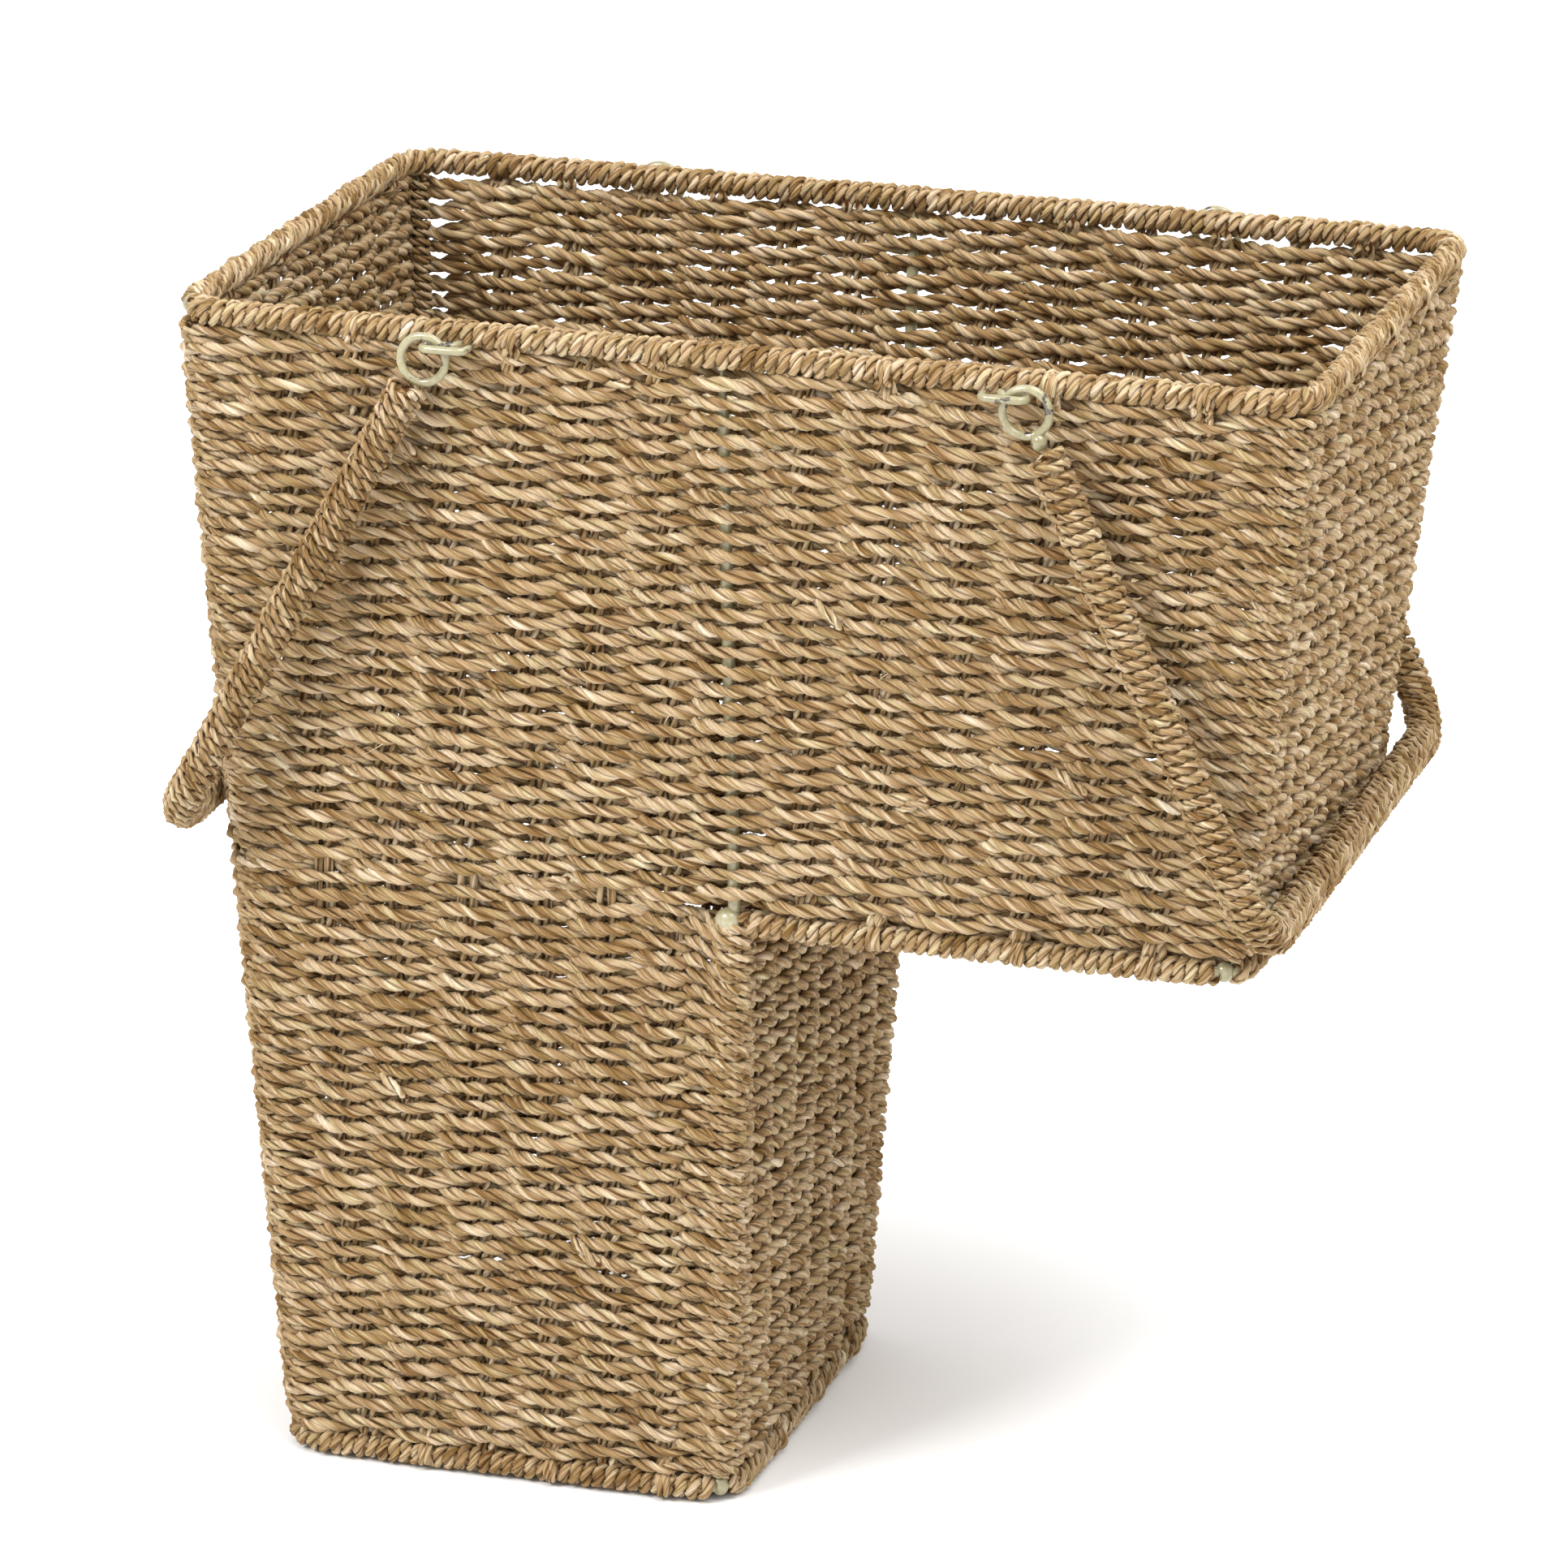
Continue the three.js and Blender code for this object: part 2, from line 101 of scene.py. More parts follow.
# How far a course stands out at a corner post, over it or under it, and at the knots after and before it.
CORNER_OVER, CORNER_UNDER = 0.75, 0.1
BESIDE_OVER, AFTER_UNDER, BEFORE_UNDER = 1.3, -2.1, -1.6
AFTER_KNOT, BEFORE_KNOT = 8.0, 11.0

# How much a cord's twist, thickness and tone wander: amounts, each with the length in which it changes.
TWIST_WANDER = ((2.1, 55), (0.75, 17))
SIZE_WANDER = ((0.12, 9), (0.10, 60))
TONE_WANDER = ((0.6, 45), (0.4, 400))

# How a cord's section is scaled, out of the surface it lies on and across.
WALL_FLAT = (0.90, 1.05)
STAKE_FLAT = (0.82, 1.08)
FLOOR_STAKE_FLAT = (0.8, 1.08)
WRAP_FLAT = (0.86, 1.06)

# Bindings.
RING_WRAP_RADIUS = 3.1
RING_WRAP_PITCH = 4.05
RING_WRAP_LEAN = 0.04
RING_PADDING = 2.6
RING_PADDING_TONE = -1.2
POST_WRAP_RADIUS = 2.9
POST_WRAP_PITCH = 3.2
BAIL_WRAP_RADIUS = 5.15
BAIL_WRAP_PITCH = 3.95
BAIL_PADDING = 4.3
BAIL_PADDING_TONE = -1.0
PADDING_TWIST = 9
WRAP_STEPS = 12
BEND_PITCH_SHARE = 0.8
WRAP_LAY = 11.0
TIE_REACH = 4.7
TIE_END_REACH = 3.4

# The frame's own details.
CORNER_RADIUS = 14.0
POST_INSET = CORNER_RADIUS * (1 - math.sqrt(0.5))
POST_CLEARANCE = 0.4
LEDGE_LAP = 3.0
EYE_BEND = 2.4
EYE_LIFT = 1.6
EYE_WIRE = 1.35
BAIL_BEND = 18.0
BAIL_RING = 7.55
BAIL_RING_DROP = 3.0
BAIL_WIRE = 1.4
BEAD_ROOM = 4

# The camera: azimuth, elevation and roll in degrees, its place in metres, and its lens in millimetres.
CAMERA_ANGLES = (16.63, 17.87, 0.59)
CAMERA_PLACE = (0.7014, -2.3928, 1.0319)
CAMERA_LENS = 179.92

UP = np.array([0, 0, 1.0])
ALONG_X = np.array([1.0, 0, 0])
ALONG_Y = np.array([0, 1.0, 0])

rng = np.random.default_rng(SEED)


# ---- small maths
def box_mm(node):
    low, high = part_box(node)
    return np.array(low) / MM, np.array(high) / MM


def mix(a, b, t):
    return a + (b - a) * t


def unit(v):
    return v / np.maximum(np.linalg.norm(v, axis=-1, keepdims=True), 1e-9)


def ease(t):
    t = np.clip(t, 0, 1)
    return t * t * (3 - 2 * t)


def bell(x, width):
    return np.exp(-((x / width) ** 2))


def between(knots, x):
    """Which step between the knots each x is in, and its share of that step."""
    i = np.clip(np.searchsorted(knots, x, side="right") - 1, 0, len(knots) - 2)
    return i, (x - knots[i]) / (knots[i + 1] - knots[i])


def fresh_seed():
    return int(rng.integers(1e6))


def wander(u, spacing, seed):
    """A smooth random curve along u, from about -1 to 1, that changes every so many millimetres."""
    table = np.random.default_rng(seed).uniform(-1, 1, 4096)
    t = np.asarray(u, float) / spacing
    i = np.floor(t).astype(int)
    return mix(table[i % 4096], table[(i + 1) % 4096], ease(t - i))


def vary(base, u, seed, terms):
    """A value that wanders along u, by the amounts and lengths in its terms."""
    for i, (amount, spacing) in enumerate(terms):
        base = base + amount * wander(u, spacing, seed + i)
    return base


# ---- where the frame is
rim_low, rim_high = box_mm("rim_wire")
cross_low, cross_high = box_mm("notch_cross_wire")
WIRE = (rim_high[2] - rim_low[2]) / 2


def ring_place(node, inset=WIRE):
    """The left and right ends and half width of a ring wire's middle line, and its height."""
    low, high = box_mm(node)
    return (low[0] + inset, high[0] - WIRE, high[1] - WIRE), (low[2] + high[2]) / 2


RIM, RIM_Z = ring_place("rim_wire")
BASE, BASE_Z = ring_place("base_wire")
LEDGE, LEDGE_Z = ring_place("ledge_wire", 0)
NOTCH_X = (cross_low[0] + cross_high[0]) / 2
BINDING = box_mm("rim_binding_front")[1][2] - RIM_Z
MIDDLE_TOP_X = box_mm("front_weave_right")[0][0] - (cross_high[0] - cross_low[0]) / 2 - POST_CLEARANCE


def wall_share(z):
    return (RIM_Z - z) / (RIM_Z - BASE_Z)


def half_y(z):
    return mix(RIM[2], BASE[2], wall_share(z))


def left_x(z):
    return mix(RIM[0], BASE[0], wall_share(z))


def right_x(z):
    return mix(RIM[1], LEDGE[1], (RIM_Z - z) / (RIM_Z - LEDGE_Z))


def leg_share(z):
    return np.clip((LEDGE_Z - z) / (LEDGE_Z - BASE_Z), 0, 1)


def leg_x(z):
    return mix(NOTCH_X, BASE[1], leg_share(z))


def middle_x(z):
    upper = mix(MIDDLE_TOP_X, NOTCH_X, np.clip((RIM_Z - z) / (RIM_Z - LEDGE_Z), 0, 1))
    return np.where(z > LEDGE_Z, upper, leg_x(z) - POST_INSET * leg_share(z))


# Corners of the loops, by number: x, y and how far the wall planes stand out from each.
FL, FM, FR, BR, BM, BL, FI, BI = range(8)


def corner_table(z):
    z = np.asarray(z, float)
    inset = POST_INSET * leg_share(z)
    half = half_y(z)
    post_y = half - POST_INSET
    left, right, leg, middle = left_x(z) + POST_INSET, right_x(z) - POST_INSET, leg_x(z), middle_x(z)
    rows = [
        (left, -post_y, POST_INSET),
        (middle, -half, 0.0),
        (right, -post_y, POST_INSET),
        (right, post_y, POST_INSET),
        (middle, half, 0.0),
        (left, post_y, POST_INSET),
        (leg - inset, -(half - inset), inset),
        (leg - inset, half - inset, inset),
    ]
    return np.array([[np.broadcast_to(v, z.shape) for v in row] for row in rows])


def on_wall(corner, normal):
    """Where a wall's middle plane ends, from its corner's x, y and how far the plane stands out."""
    return corner[..., :2] + corner[..., 2:] * normal


def corner_line(corner, z):
    """The line up a corner through the heights z."""
    return np.stack([*corner_table(z)[corner, :2], z], -1)


# ---- meshes from cords
def peanut(sides, ply=WEAVER_PLY, offset=WEAVER_OFFSET):
    """The section of two plies side by side."""
    a = np.arange(sides) * 2 * np.pi / sides
    r = offset * np.abs(np.cos(a)) + np.sqrt(ply**2 - (offset * np.sin(a)) ** 2)
    return np.stack([r * np.cos(a), r * np.sin(a)], -1)


def circle(sides, radius):
    a = np.arange(sides) * 2 * np.pi / sides
    return radius * np.stack([np.cos(a), np.sin(a)], -1)


def lengths(points):
    steps = np.linalg.norm(np.diff(points, axis=-2), axis=-1)
    zero = np.zeros(steps.shape[:-1] + (1,))
    return np.concatenate([zero, np.cumsum(steps, axis=-1)], axis=-1)


# The fibre coordinates of every cord run out to the weaver's own reach, so that the painted crease shade darkens
# thin cords alike.
FULL_REACH = WEAVER_PLY + WEAVER_OFFSET

# The sections of the cords and of the frame's wire.
WEAVER, FLOOR_CORD, STAKE_CORD = peanut(12), peanut(8), peanut(8, 1.12, 0.82)
CUT_CORD, TIE_CORD, POST_CORD = peanut(12, 1.15, 0.85), peanut(10, 0.88, 0.65), peanut(8, 0.95, 0.7)
RING_CORD, BAIL_CORD = peanut(12, 1.27, 0.86), peanut(12, 1.18, 0.84)
FRAME_WIRE = circle(14, WIRE)


def sweep(points, out, section, size=1.0, twist=0.0, flat=(1.0, 1.0), start=0.0, capped=True):
    """Sweeps a section along one line, or a stack of lines. Returns rings of points and their fibre coordinates:
    how far along the cord each lies, and where it lies in the section."""
    points = np.asarray(points, float)
    tangent = unit(np.gradient(points, axis=-2))
    out = np.broadcast_to(out, points.shape)
    first = unit(out - np.sum(out * tangent, -1, keepdims=True) * tangent)
    second = np.cross(tangent, first)
    size = np.broadcast_to(np.asarray(size, float), points.shape[:-1]).copy()
    if capped:
        size[..., [0, -1]] *= CAP_SIZE
    twist = np.broadcast_to(twist, points.shape[:-1])[..., None]
    c, s = np.cos(twist), np.sin(twist)
    x = (section[:, 0] * c - section[:, 1] * s) * size[..., None] * flat[0]
    y = (section[:, 0] * s + section[:, 1] * c) * size[..., None] * flat[1]
    rings = points[..., None, :] + x[..., None] * first[..., None, :] + y[..., None] * second[..., None, :]
    along = lengths(points) + start
    fibre = np.empty(rings.shape)
    fibre[..., 0] = along[..., None]
    fibre[..., 1:] = section * size[..., None, None] * FULL_REACH / np.linalg.norm(section, axis=-1).max()
    return rings, fibre


def new_object(name, data):
    obj = bpy.data.objects.new(name, data)
    bpy.context.scene.collection.objects.link(obj)
    return obj


class Skin:
    """Gathers swept cords into one mesh."""

    def __init__(self):
        self.points, self.fibres, self.tones, self.creases, self.faces, self.count = [], [], [], [], [], 0

    def fray(self, rings, used):
        """Fine fibres that have come loose from the cords."""
        sides = rings.shape[1]
        r = np.random.default_rng(len(used))
        count = max(2, len(used) * sides // FRAY_EVERY)
        ring = r.choice(used[1:-1], count)
        centre = rings[ring].mean(1)
        root = rings[ring, r.integers(0, sides, count)]
        along = unit(rings[np.minimum(ring + 1, len(rings) - 1)].mean(1) - centre) * r.choice([-1, 1], (count, 1))
        away = unit(root - centre)
        aim = unit(0.55 * away + along + 0.35 * r.normal(size=(count, 3)))
        curl = unit(r.normal(size=(count, 3))) * 0.35
        reach = r.uniform(2.0, 7.5, (count, 1, 1)) * r.uniform(0.5, 1.3, (count, 1, 1))
        t = np.linspace(0, 1, 6)[None, :, None]
        strands = root[:, None] + reach * (aim[:, None] * t + curl[:, None] * t**2) - 0.3 * away[:, None]
        size = np.linspace(1, 0.25, 6) * r.uniform(0.8, 1.5, (count, 1))
        rings, fibre = sweep(strands, away[:, None] + 0.01, circle(4, FRAY_RADIUS), size, capped=False)
        fibre[..., 0] += r.uniform(0, 900, (count, 1, 1))
        # The frays lie past the painted crease shade, so they are not darkened.
        fibre[..., 1:] = FRAY_SECTION_PAST_CREASE_SHADE
        self.add(rings, fibre, r.uniform(0.5, 3.0, (count, 1)))

    def add(self, rings, fibre, tone=0.0, keep=None, fray=False):
        """keep is a mask of the steps between neighbouring rings that are made, or None for all."""
        per_line, sides = rings.shape[-3:-1]
        tones = np.broadcast_to(np.asarray(tone, float), rings.shape[:-2]).ravel()
        rings, fibre = rings.reshape(-1, sides, 3), fibre.reshape(-1, sides, 3)
        first = np.arange(len(rings)).reshape(-1, per_line)[:, :-1].ravel()
        if keep is not None:
            first = first[keep]
        used = np.unique(np.concatenate([first, first + 1]))
        place = np.full(len(rings), -1)
        place[used] = np.arange(len(used))
        a = place[first][:, None] * sides + np.arange(sides)
        b = place[first + 1][:, None] * sides + np.arange(sides)
        quads = np.stack([a, np.roll(a, -1, 1), np.roll(b, -1, 1), b], -1).reshape(-1, 4)
        self.points.append(rings[used].reshape(-1, 3))
        self.fibres.append(fibre[used].reshape(-1, 3))
        self.tones.append(np.repeat(tones[used], sides))
        reach = np.linalg.norm(fibre[1, :, 1:], axis=-1)
        creased = reach < 0.75 * reach.max()
        creased &= (reach <= np.roll(reach, 1)) & (reach <= np.roll(reach, -1))
        self.creases.append(np.tile(creased, len(used)))
        self.faces.append(quads + self.count)
        self.count += len(used) * sides
        if fray:
            self.fray(rings, used)
        return self

    def build(self, name, look, nodes=(), body="basket"):
        material, slot = look
        points = np.concatenate(self.points) * MM
        faces = np.concatenate(self.faces)
        mesh = bpy.data.meshes.new(name)
        mesh.vertices.add(len(points))
        mesh.vertices.foreach_set("co", points.astype(np.float32).ravel())
        mesh.loops.add(faces.size)
        mesh.loops.foreach_set("vertex_index", faces.astype(np.int32).ravel())
        mesh.polygons.add(len(faces))
        mesh.polygons.foreach_set("loop_start", np.arange(0, faces.size, 4, dtype=np.int32))
        mesh.update(calc_edges=True)
        mesh.shade_smooth()
        ends = np.empty(len(mesh.edges) * 2, np.int32)
        mesh.edges.foreach_get("vertices", ends)
        sharp = np.concatenate(self.creases)[ends].reshape(-1, 2).all(1)
        mesh.edges.foreach_set("use_edge_sharp", sharp)
        for key, kind, field, rows in (
            ("fibre", "FLOAT_VECTOR", "vector", self.fibres), ("tone", "FLOAT", "value", self.tones)
        ):
            attribute = mesh.attributes.new(key, kind, "POINT")
            attribute.data.foreach_set(field, np.concatenate(rows).astype(np.float32).ravel())
        mesh.materials.append(material)
        obj = new_object(name, mesh)
        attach(obj, body)
        if nodes:
            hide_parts(*nodes)


def twist_along(u, seed, lay=CORD_LAY):
    """The turn of a right-hand laid cord, whose lay varies a little."""
    return vary(2 * np.pi * u / lay, u, seed, TWIST_WANDER)


def cord_size(u, seed):
    return vary(1, u, seed, SIZE_WANDER)


def cord_tone(u, seed):
    return vary(0, u, seed, TONE_WANDER)


# ---- materials
class Nodes:
    """Short names for building a node tree."""

    def __init__(self, name):
        self.material = bpy.data.materials.new(name)
        self.material.use_nodes = True
        self.tree = self.material.node_tree
        self.shader = self.tree.nodes["Principled BSDF"]

    def new(self, kind, **values):
        node = self.tree.nodes.new(kind)
        for key, value in values.items():
            setattr(node, key, value)
        return node

    def link(self, source, target):
        self.tree.links.new(source, target)

    def fill(self, socket, value):
        """Links a socket to another one, or sets its number or colour."""
        if isinstance(value, bpy.types.NodeSocket):
            self.link(value, socket)
        else:
            socket.default_value = (*value, 1) if isinstance(value, tuple) else value

    def shade(self, values):
        for key, value in values.items():
            self.fill(self.shader.inputs[key], value)

    def attribute(self, name):
        return self.new("ShaderNodeAttribute", attribute_name=name)

    def noise(self, vector, scale, stretch=(1, 1, 1), detail=2.0, offset=0.0):
        mapping = self.new("ShaderNodeMapping")
        mapping.inputs["Scale"].default_value = stretch
        mapping.inputs["Location"].default_value = (offset, offset * 0.7, offset * 0.3)
        self.link(vector, mapping.inputs["Vector"])
        noise = self.new("ShaderNodeTexNoise")
        noise.inputs["Scale"].default_value = scale
        noise.inputs["Detail"].default_value = detail
        self.link(mapping.outputs[0], noise.inputs["Vector"])
        return noise.outputs["Fac"]

    def math(self, operation, *values, clamp=False):
        node = self.new("ShaderNodeMath", operation=operation, use_clamp=clamp)
        for socket, value in zip(node.inputs, values):
            self.fill(socket, value)
        return node.outputs[0]

    def spread(self, value, low, high, to_low=0.0, to_high=1.0):
        node = self.new("ShaderNodeMapRange", clamp=True)
        self.link(value, node.inputs["Value"])
        for key, number in zip(("From Min", "From Max", "To Min", "To Max"), (low, high, to_low, to_high)):
            node.inputs[key].default_value = number
        return node.outputs[0]

    def ramp(self, value, stops):
        node = self.new("ShaderNodeValToRGB")
        elements = node.color_ramp.elements
        while len(elements) < len(stops):
            elements.new(0.5)
        for element, (place, colour) in zip(elements, stops):
            element.position = place
            element.color = (*colour, 1)
        self.link(value, node.inputs["Fac"])
        return node.outputs["Color"]

    def blend(self, factor, a, b, kind="MIX"):
        node = self.new("ShaderNodeMix", data_type="RGBA", blend_type=kind)
        for socket, value in zip([s for s in node.inputs if s.enabled], (factor, a, b)):
            self.fill(socket, value)
        return [s for s in node.outputs if s.enabled][0]

    def bump(self, height, strength, distance):
        node = self.new("ShaderNodeBump")
        node.inputs["Strength"].default_value = strength
        node.inputs["Distance"].default_value = distance
        self.link(height, node.inputs["Height"])
        self.link(node.outputs[0], self.shader.inputs["Normal"])


STRAW = [
    (0.00, (0.066, 0.027, 0.006)),
    (0.25, (0.172, 0.090, 0.027)),
    (0.50, (0.330, 0.216, 0.106)),
    (0.75, (0.500, 0.382, 0.246)),
    (1.00, (0.690, 0.600, 0.470)),
]
OLIVE_TINT = (0.88, 0.98, 0.74)
RUST = (0.26, 0.13, 0.05)
# Painted shade: the colour that darkens each cord towards the crease between its plies.
CREASE_PAINTED_SHADE = (0.18, 0.095, 0.03)
SHEEN_TINT = (1.0, 0.9, 0.72)
SAGE = [(0.3, (0.205, 0.18, 0.09)), (0.5, (0.285, 0.255, 0.142)), (0.7, (0.38, 0.35, 0.215))]
BARE_STEEL = (0.115, 0.098, 0.08)

# How strongly each grain colours the grass.
CONTRAST = 1.12
STREAKS, BLADES, PATCHES, TONES = 0.85, 0.8, 0.7, 0.13


def seagrass(name, level):
    """Dry twisted grass: streaks along each ply, patches of straw, olive and brown, and painted shade darkening the
    creases between the plies.
    """
    n = Nodes(name)
    fibre = n.attribute("fibre").outputs["Vector"]
    tone = n.attribute("tone").outputs["Fac"]

    def grain(along, across, detail, offset=0.0):
        return n.noise(fibre, 1.0, (along, across, across), detail, offset)

    streak, blade, patch = grain(0.11, 2.6, 3.0), grain(0.07, 0.8, 1.0, 11.0), grain(0.045, 0.25, 1.0, 37.0)
    middle = 0.5 * (STREAKS + BLADES + PATCHES) * CONTRAST
    value = level - middle
    for pattern, share in ((streak, STREAKS), (blade, BLADES), (patch, PATCHES)):
        value = n.math("MULTIPLY_ADD", pattern, share * CONTRAST, value)
    value = n.math("MULTIPLY_ADD", tone, TONES, value, clamp=True)
    colour = n.ramp(value, STRAW)
    olive = n.spread(grain(0.03, 0.3, 1.0, 71.0), 0.48, 0.66)
    colour = n.blend(n.math("MULTIPLY", olive, 0.45), colour, OLIVE_TINT, "MULTIPLY")
    rust = n.spread(grain(0.16, 0.55, 2.0, 93.0), 0.66, 0.74)
    colour = n.blend(n.math("MULTIPLY", rust, 0.5), colour, RUST)
    # Painted shade: the colour is darkened where the section comes nearest the cord's middle, at the crease between
    # the two plies.
    parts = n.new("ShaderNodeSeparateXYZ")
    n.link(fibre, parts.inputs[0])
    across = n.math("ADD", n.math("POWER", parts.outputs[1], 2), n.math("POWER", parts.outputs[2], 2))
    painted_crease_shade = n.spread(across, 0.75, 2.2)
    colour = n.blend(painted_crease_shade, n.blend(1.0, colour, CREASE_PAINTED_SHADE, "MULTIPLY"), colour)
    n.shade({"Base Color": colour, "Roughness": n.spread(streak, 0.3, 0.7, 0.72, 0.5)})
    n.shade({"Specular IOR Level": 0.08, "Sheen Weight": 0.06, "Sheen Roughness": 0.45, "Sheen Tint": SHEEN_TINT})
    n.bump(n.math("MULTIPLY_ADD", blade, 0.5, streak), 0.55, 0.0004)
    return n.material


def painted_steel(name, chips):
    """Sage-beige gloss paint over grey steel, worn through in places."""
    n = Nodes(name)
    place = n.new("ShaderNodeTexCoord").outputs["Object"]
    cloud = n.noise(place, 60.0, detail=3.0)
    dust = n.noise(place, 700.0, detail=2.0, offset=3.0)
    paint = n.ramp(n.math("MULTIPLY_ADD", dust, 0.4, n.math("MULTIPLY", cloud, 0.6)), SAGE)
    bare = n.spread(n.noise(place, 210.0, detail=4.0, offset=9.0), chips, chips + 0.04)
    n.shade({"Base Color": n.blend(bare, paint, BARE_STEEL), "Metallic": n.math("MULTIPLY", bare, 0.85)})
    n.shade({"Roughness": n.spread(cloud, 0.3, 0.7, 0.2, 0.38), "Coat Weight": 0.6, "Coat Roughness": 0.07})
    n.bump(n.math("SUBTRACT", n.math("MULTIPLY", cloud, 0.5), n.math("MULTIPLY", bare, 0.6)), 0.4, 0.0003)
    return n.material


# The looks: each a material and a slot name.
WEAVE = seagrass("seagrass_weave", 0.52), "seagrass_weave"
STAKE = seagrass("seagrass_stakes", 0.55), "seagrass_weave"
BOUND = seagrass("seagrass_binding", 0.52), "ring_binding"
BAIL = seagrass("seagrass_bail", 0.49), "bail_binding"
PAINT = painted_steel("painted_wire", 0.68), "painted_wire"
CHIPPED = painted_steel("chipped_wire", 0.585), "painted_wire"


# ---- the loops of the walls
FRONT, RIGHT, BACK, LEFT = (0, -1), (1, 0), (0, 1), (-1, 0)


class Loop:
    """One course's way round: runs along the walls and quarter turns round the posts. Each station lies a share f
    of the way from corner a to b, near or far from the nearer one, and at a turn past a corner's middle (below
    zero before it). The knots are the supports that the cord passes over or under."""

    COLUMNS = ("a", "b", "f", "nx", "ny", "s", "wall", "near", "turn")

    def __init__(self, runs, middle_z):
        table = corner_table(middle_z)
        stations = []
        self.knots = [(0.0, 0, "corner")]
        s = 0.0
        support = 1
        arc = POST_INSET * np.pi / 2
        for number, (a, b, normal, stakes, wall) in enumerate(runs):
            before, following = runs[number - 1], runs[(number + 1) % len(runs)]
            length = np.linalg.norm(on_wall(table[b], np.array(normal)) - on_wall(table[a], np.array(normal)))
            count = int(round(length / STEP))
            for i in range(count):
                gone = i / count * length
                past = gone + arc / 2 if before[2] != normal else NO_CORNER
                ahead = length - gone + arc / 2 if following[2] != normal else NO_CORNER
                turn = past if past < ahead else -ahead
                stations.append((a, b, i / count, *normal, s + gone, wall, min(gone, length - gone), turn))
            for fraction in stakes:
                self.knots.append((s + fraction * length, support, "stake"))
                support += 1
            s += length
            if following[2] == normal:
                self.knots.append((s, support, "post"))
            else:
                self.knots.append((s, support, "corner"))
                for i in range(3):
                    angle = (i / 3) * np.pi / 2
                    way = math.cos(angle) * np.array(normal) + math.sin(angle) * np.array(following[2])
                    side = wall if i < 2 else following[4]
                    stations.append((b, b, 0.0, *way, s + i / 3 * arc, side, 0.0, (i / 3 - 0.5) * arc))
                s += arc
                self.knots.append((s, support, "corner"))
            support += 1
        self.length = s
        self.columns = {key: np.array(column) for key, column in zip(self.COLUMNS, zip(*stations))}

    def profile(self, odd):
        """The stand-off at every station of an even or an odd course."""
        rows = []
        seen = set()
        for s, support, kind in self.knots:
            over = (support + odd) % 2 == 0
            if kind == "corner":
                after = s == 0.0 or support in seen
                seen.add(support)
                under = AFTER_UNDER if after else BEFORE_UNDER
                rows.append((s, CORNER_OVER if over else CORNER_UNDER))
                rows.append((s + AFTER_KNOT if after else s - BEFORE_KNOT, BESIDE_OVER if over else under))
            else:
                wave = STAKE_WAVE if kind == "stake" else POST_WAVE
                rows.append((s, wave if over else -wave))
        rows.sort()
        s, d = np.array(rows).T
        i, t = between(s, self.columns["s"])
        return mix(d[i], d[i + 1], ease((t - 0.06) / 0.88))


def wave_field(s, length, z, seed):
    """A slow rise and fall that neighbouring courses share."""
    r = np.random.default_rng(seed)
    total = 0.0
    for turns in (3, 5, 8, 13, 21, 34):
        phase, drift = r.uniform(0, 2 * np.pi), r.uniform(-1, 1) / 14
        total = total + np.sin(2 * np.pi * turns * s / length + phase + z * drift) * 0.55 / turns**0.22
    return total


def settle(tile, z, loop, course):
    """How far each point of the courses moves up, where the back wall's top sags from the rim, the courses fall
    and pair up at the corners, drop towards the notch, and stand open here and there."""
    s, turn = tile["s"], tile["turn"]
    back = np.isin(tile["wall"], ("back_left", "back_right"))
    sag = BACK_SAG + BACK_SAG_WANDER * wander(s, 38, 17)
    dz = np.where(back, -sag * ease((z - RIM_Z + 60) / 50), 0.0)
    dz = dz - CORNER_FALL * turn / 5 * bell(turn, 7)
    corner = tile["corner"]
    beside = BACK_PAIRING * bell(np.abs(turn) - 8, 6) * ease((z - RIM_Z + 75) / 20)
    dz = dz - np.where((corner == BL) & back, beside, CORNER_PAIRING * bell(turn, 9)) * (course % 2)
    if "leg_inner" in loop.columns["wall"]:
        near = bell(tile["near"], 15) * ease((z - LEDGE_Z + 40) / 40)
        dz = dz - np.where(corner == FI, NOTCH_DROP * near, 0.0)
    for wall, share, height, width, push in OPENINGS:
        here = tile["wall"] == wall
        if not here.any():
            continue
        middle = mix(s[here].min(), s[here].max(), share)
        beyond = (z - height) / 9.0
        opened = push * bell(s - middle, width) * beyond * bell(beyond, 1) * 2.3
        dz = dz + np.where(np.abs(s - middle) < 3 * width, opened, 0)
    return dz


